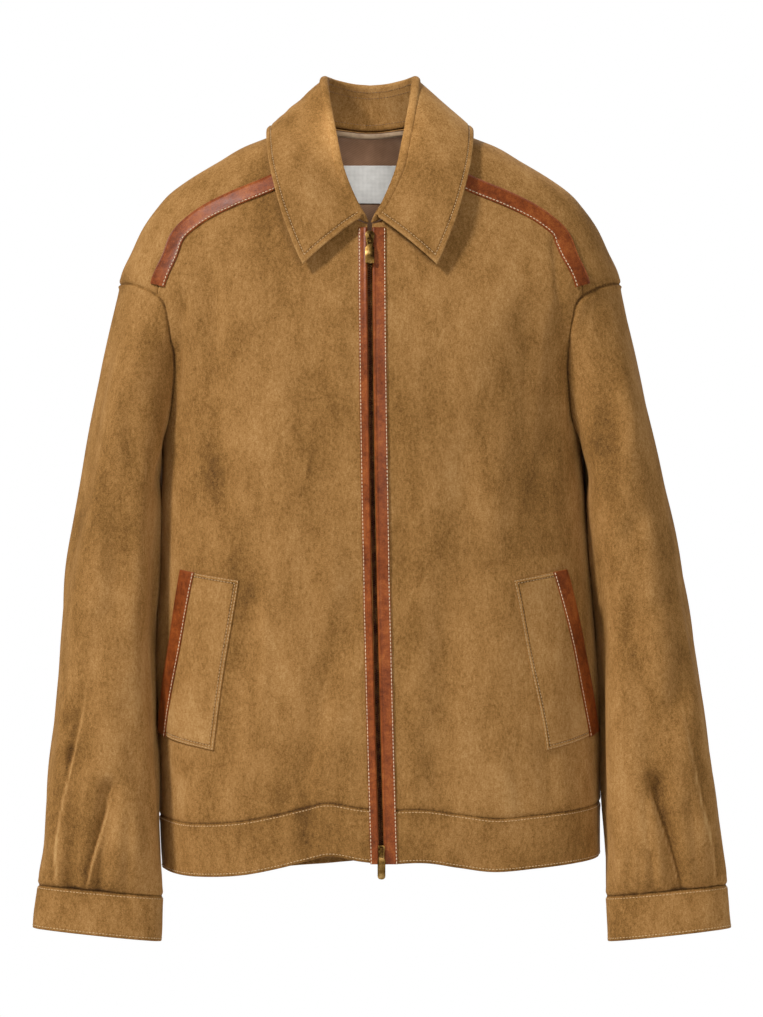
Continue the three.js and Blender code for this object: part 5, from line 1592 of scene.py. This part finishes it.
def stitches():
    cream, tan, length = [], [], pockets["length"]
    leather = pockets["width"] * (1 - pockets["trimShare"])      # where the leather at the mouth begins
    onLeather = pockets["mouth"] + pockets["trimWall"] - 0.25
    for side, width in ((1, strips["frontLeft"]), (-1, strips["frontRight"])):
        cream.append(frontStripLine(side, width))
        cream.append(shoulderLine(side, 1.2 - strips["shoulderWidth"] / 2))
        beside, end = leather + sewing["pocketIn"], sewing["pocketEnd"]
        cream.append(pocketLine(side, [(beside, end), (beside, length - end)], onLeather))
        for at in pockets["grooves"]:
            corners = [(leather - 1, at), (at, at), (at, length - at), (leather - 1, length - at)]
            tan.append(pocketLine(side, corners, None))
    for skin in (cuffLeftSkin, cuffRightSkin):
        tan += [cuffLine(skin, row) for row in sewing["cuffRows"]]
    tan += [hemLine(height) for height in sewing["hem"]]
    leafLines, standLines = collarLines()
    groups = (
        ("cream", cream, creamThread),
        ("tan", tan + leafLines, tanThread),
        ("brown", standLines, brownThread),
    )
    tree = stitchTree()
    meshes = []
    for name, lines, finish in groups:
        values = {key: value * mm for key, value in threads[name].items()}
        meshes.append((grown(name + "Lines", lines, tree, {**values, "Finish": finish}), finish))
    piece = joined("stitches", meshes)
    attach(piece, "jacket")
    return piece


print("stitches")
stitches()


# Stage, light and camera

stageLook = {
    "floor": -0.93, "radius": 1.6, "ambient": 0.22, "aim": (0.0, 0.0, -0.34),      # metres
    "key": {"place": (-2.7, -2.5, 2.7), "size": 0.8, "power": 200},
    "fill": {"place": (1.2, -4.2, 0.7), "size": 1.6, "power": 52},
    "back": {"place": (0.6, 3.2, 1.8), "size": 2.0, "power": 50},
    "neck": {"place": (-0.15, -2.6, 0.75), "aim": (0.0, 0.05, -0.03), "angle": 2.0, "power": 400},
}


def discStage():
    turn = np.linspace(0, 2 * math.pi, 72, endpoint=False)
    points = np.stack([np.cos(turn), np.sin(turn), 0 * turn], -1) * stageLook["radius"] * 1000
    points[:, 2] = stageLook["floor"] * 1000
    material, tree, shader = newMaterial("whiteFloor", {"Base Color": (0.9, 0.9, 0.9, 1), "Roughness": 0.9})
    disc = makeMesh("floorDisc", points, [range(72)], [material])


def lampAt(name, data, place, aim):
    lamp = bpy.data.objects.new(name, data)
    lamp.location = place
    direction = unit(np.array(aim) - np.array(place))
    lamp.rotation_euler = (math.acos(-direction[2]), 0, math.atan2(direction[1], direction[0]) - quarter)
    bpy.context.scene.collection.objects.link(lamp)


def areaLight(name, look):
    data = bpy.data.lights.new(name, "AREA")
    data.energy, data.size, data.shape = look["power"], look["size"], "DISK"
    lampAt(name, data, look["place"], stageLook["aim"])


def neckLight(look):      # a narrow lamp into the neck, as a photographer would light the label
    data = bpy.data.lights.new("neckLight", "SPOT")
    data.energy, data.spot_size = look["power"], look["angle"] * rad
    data.spot_blend, data.shadow_soft_size = 1.0, 0.03
    lampAt("neckLight", data, look["place"], look["aim"])


def whiteWorld():      # white to the camera, softer as a light
    world = bpy.data.worlds.new("whiteWorld")
    world.use_nodes = True
    tree = world.node_tree
    tree.nodes.clear()
    seen, lighting = (
        addNode(tree, "ShaderNodeBackground", {"Color": (1, 1, 1, 1), "Strength": strength})
        for strength in (1.0, stageLook["ambient"]))
    path = addNode(tree, "ShaderNodeLightPath")
    mix = addNode(tree, "ShaderNodeMixShader", {
        "Fac": path.outputs["Is Camera Ray"], 1: lighting.outputs[0], 2: seen.outputs[0]})
    addNode(tree, "ShaderNodeOutputWorld", {"Surface": mix.outputs[0]})
    bpy.context.scene.world = world


print("stage, light and camera")
discStage()
whiteWorld()
areaLight("keyLight", stageLook["key"])
areaLight("fillLight", stageLook["fill"])
areaLight("backLight", stageLook["back"])
neckLight(stageLook["neck"])
cameraData = bpy.data.cameras.new("camera")
cameraData.lens, cameraData.sensor_width, cameraData.sensor_fit = 275.3, 36, "AUTO"
camera = bpy.data.objects.new("camera", cameraData)
camera.location, camera.rotation_euler = (0.01035, -7.0, -0.3407), (quarter, 0, 0)      # 7 m in front
bpy.context.scene.collection.objects.link(camera)
bpy.context.scene.camera = camera
bpy.context.scene.view_settings.view_transform = "Standard"
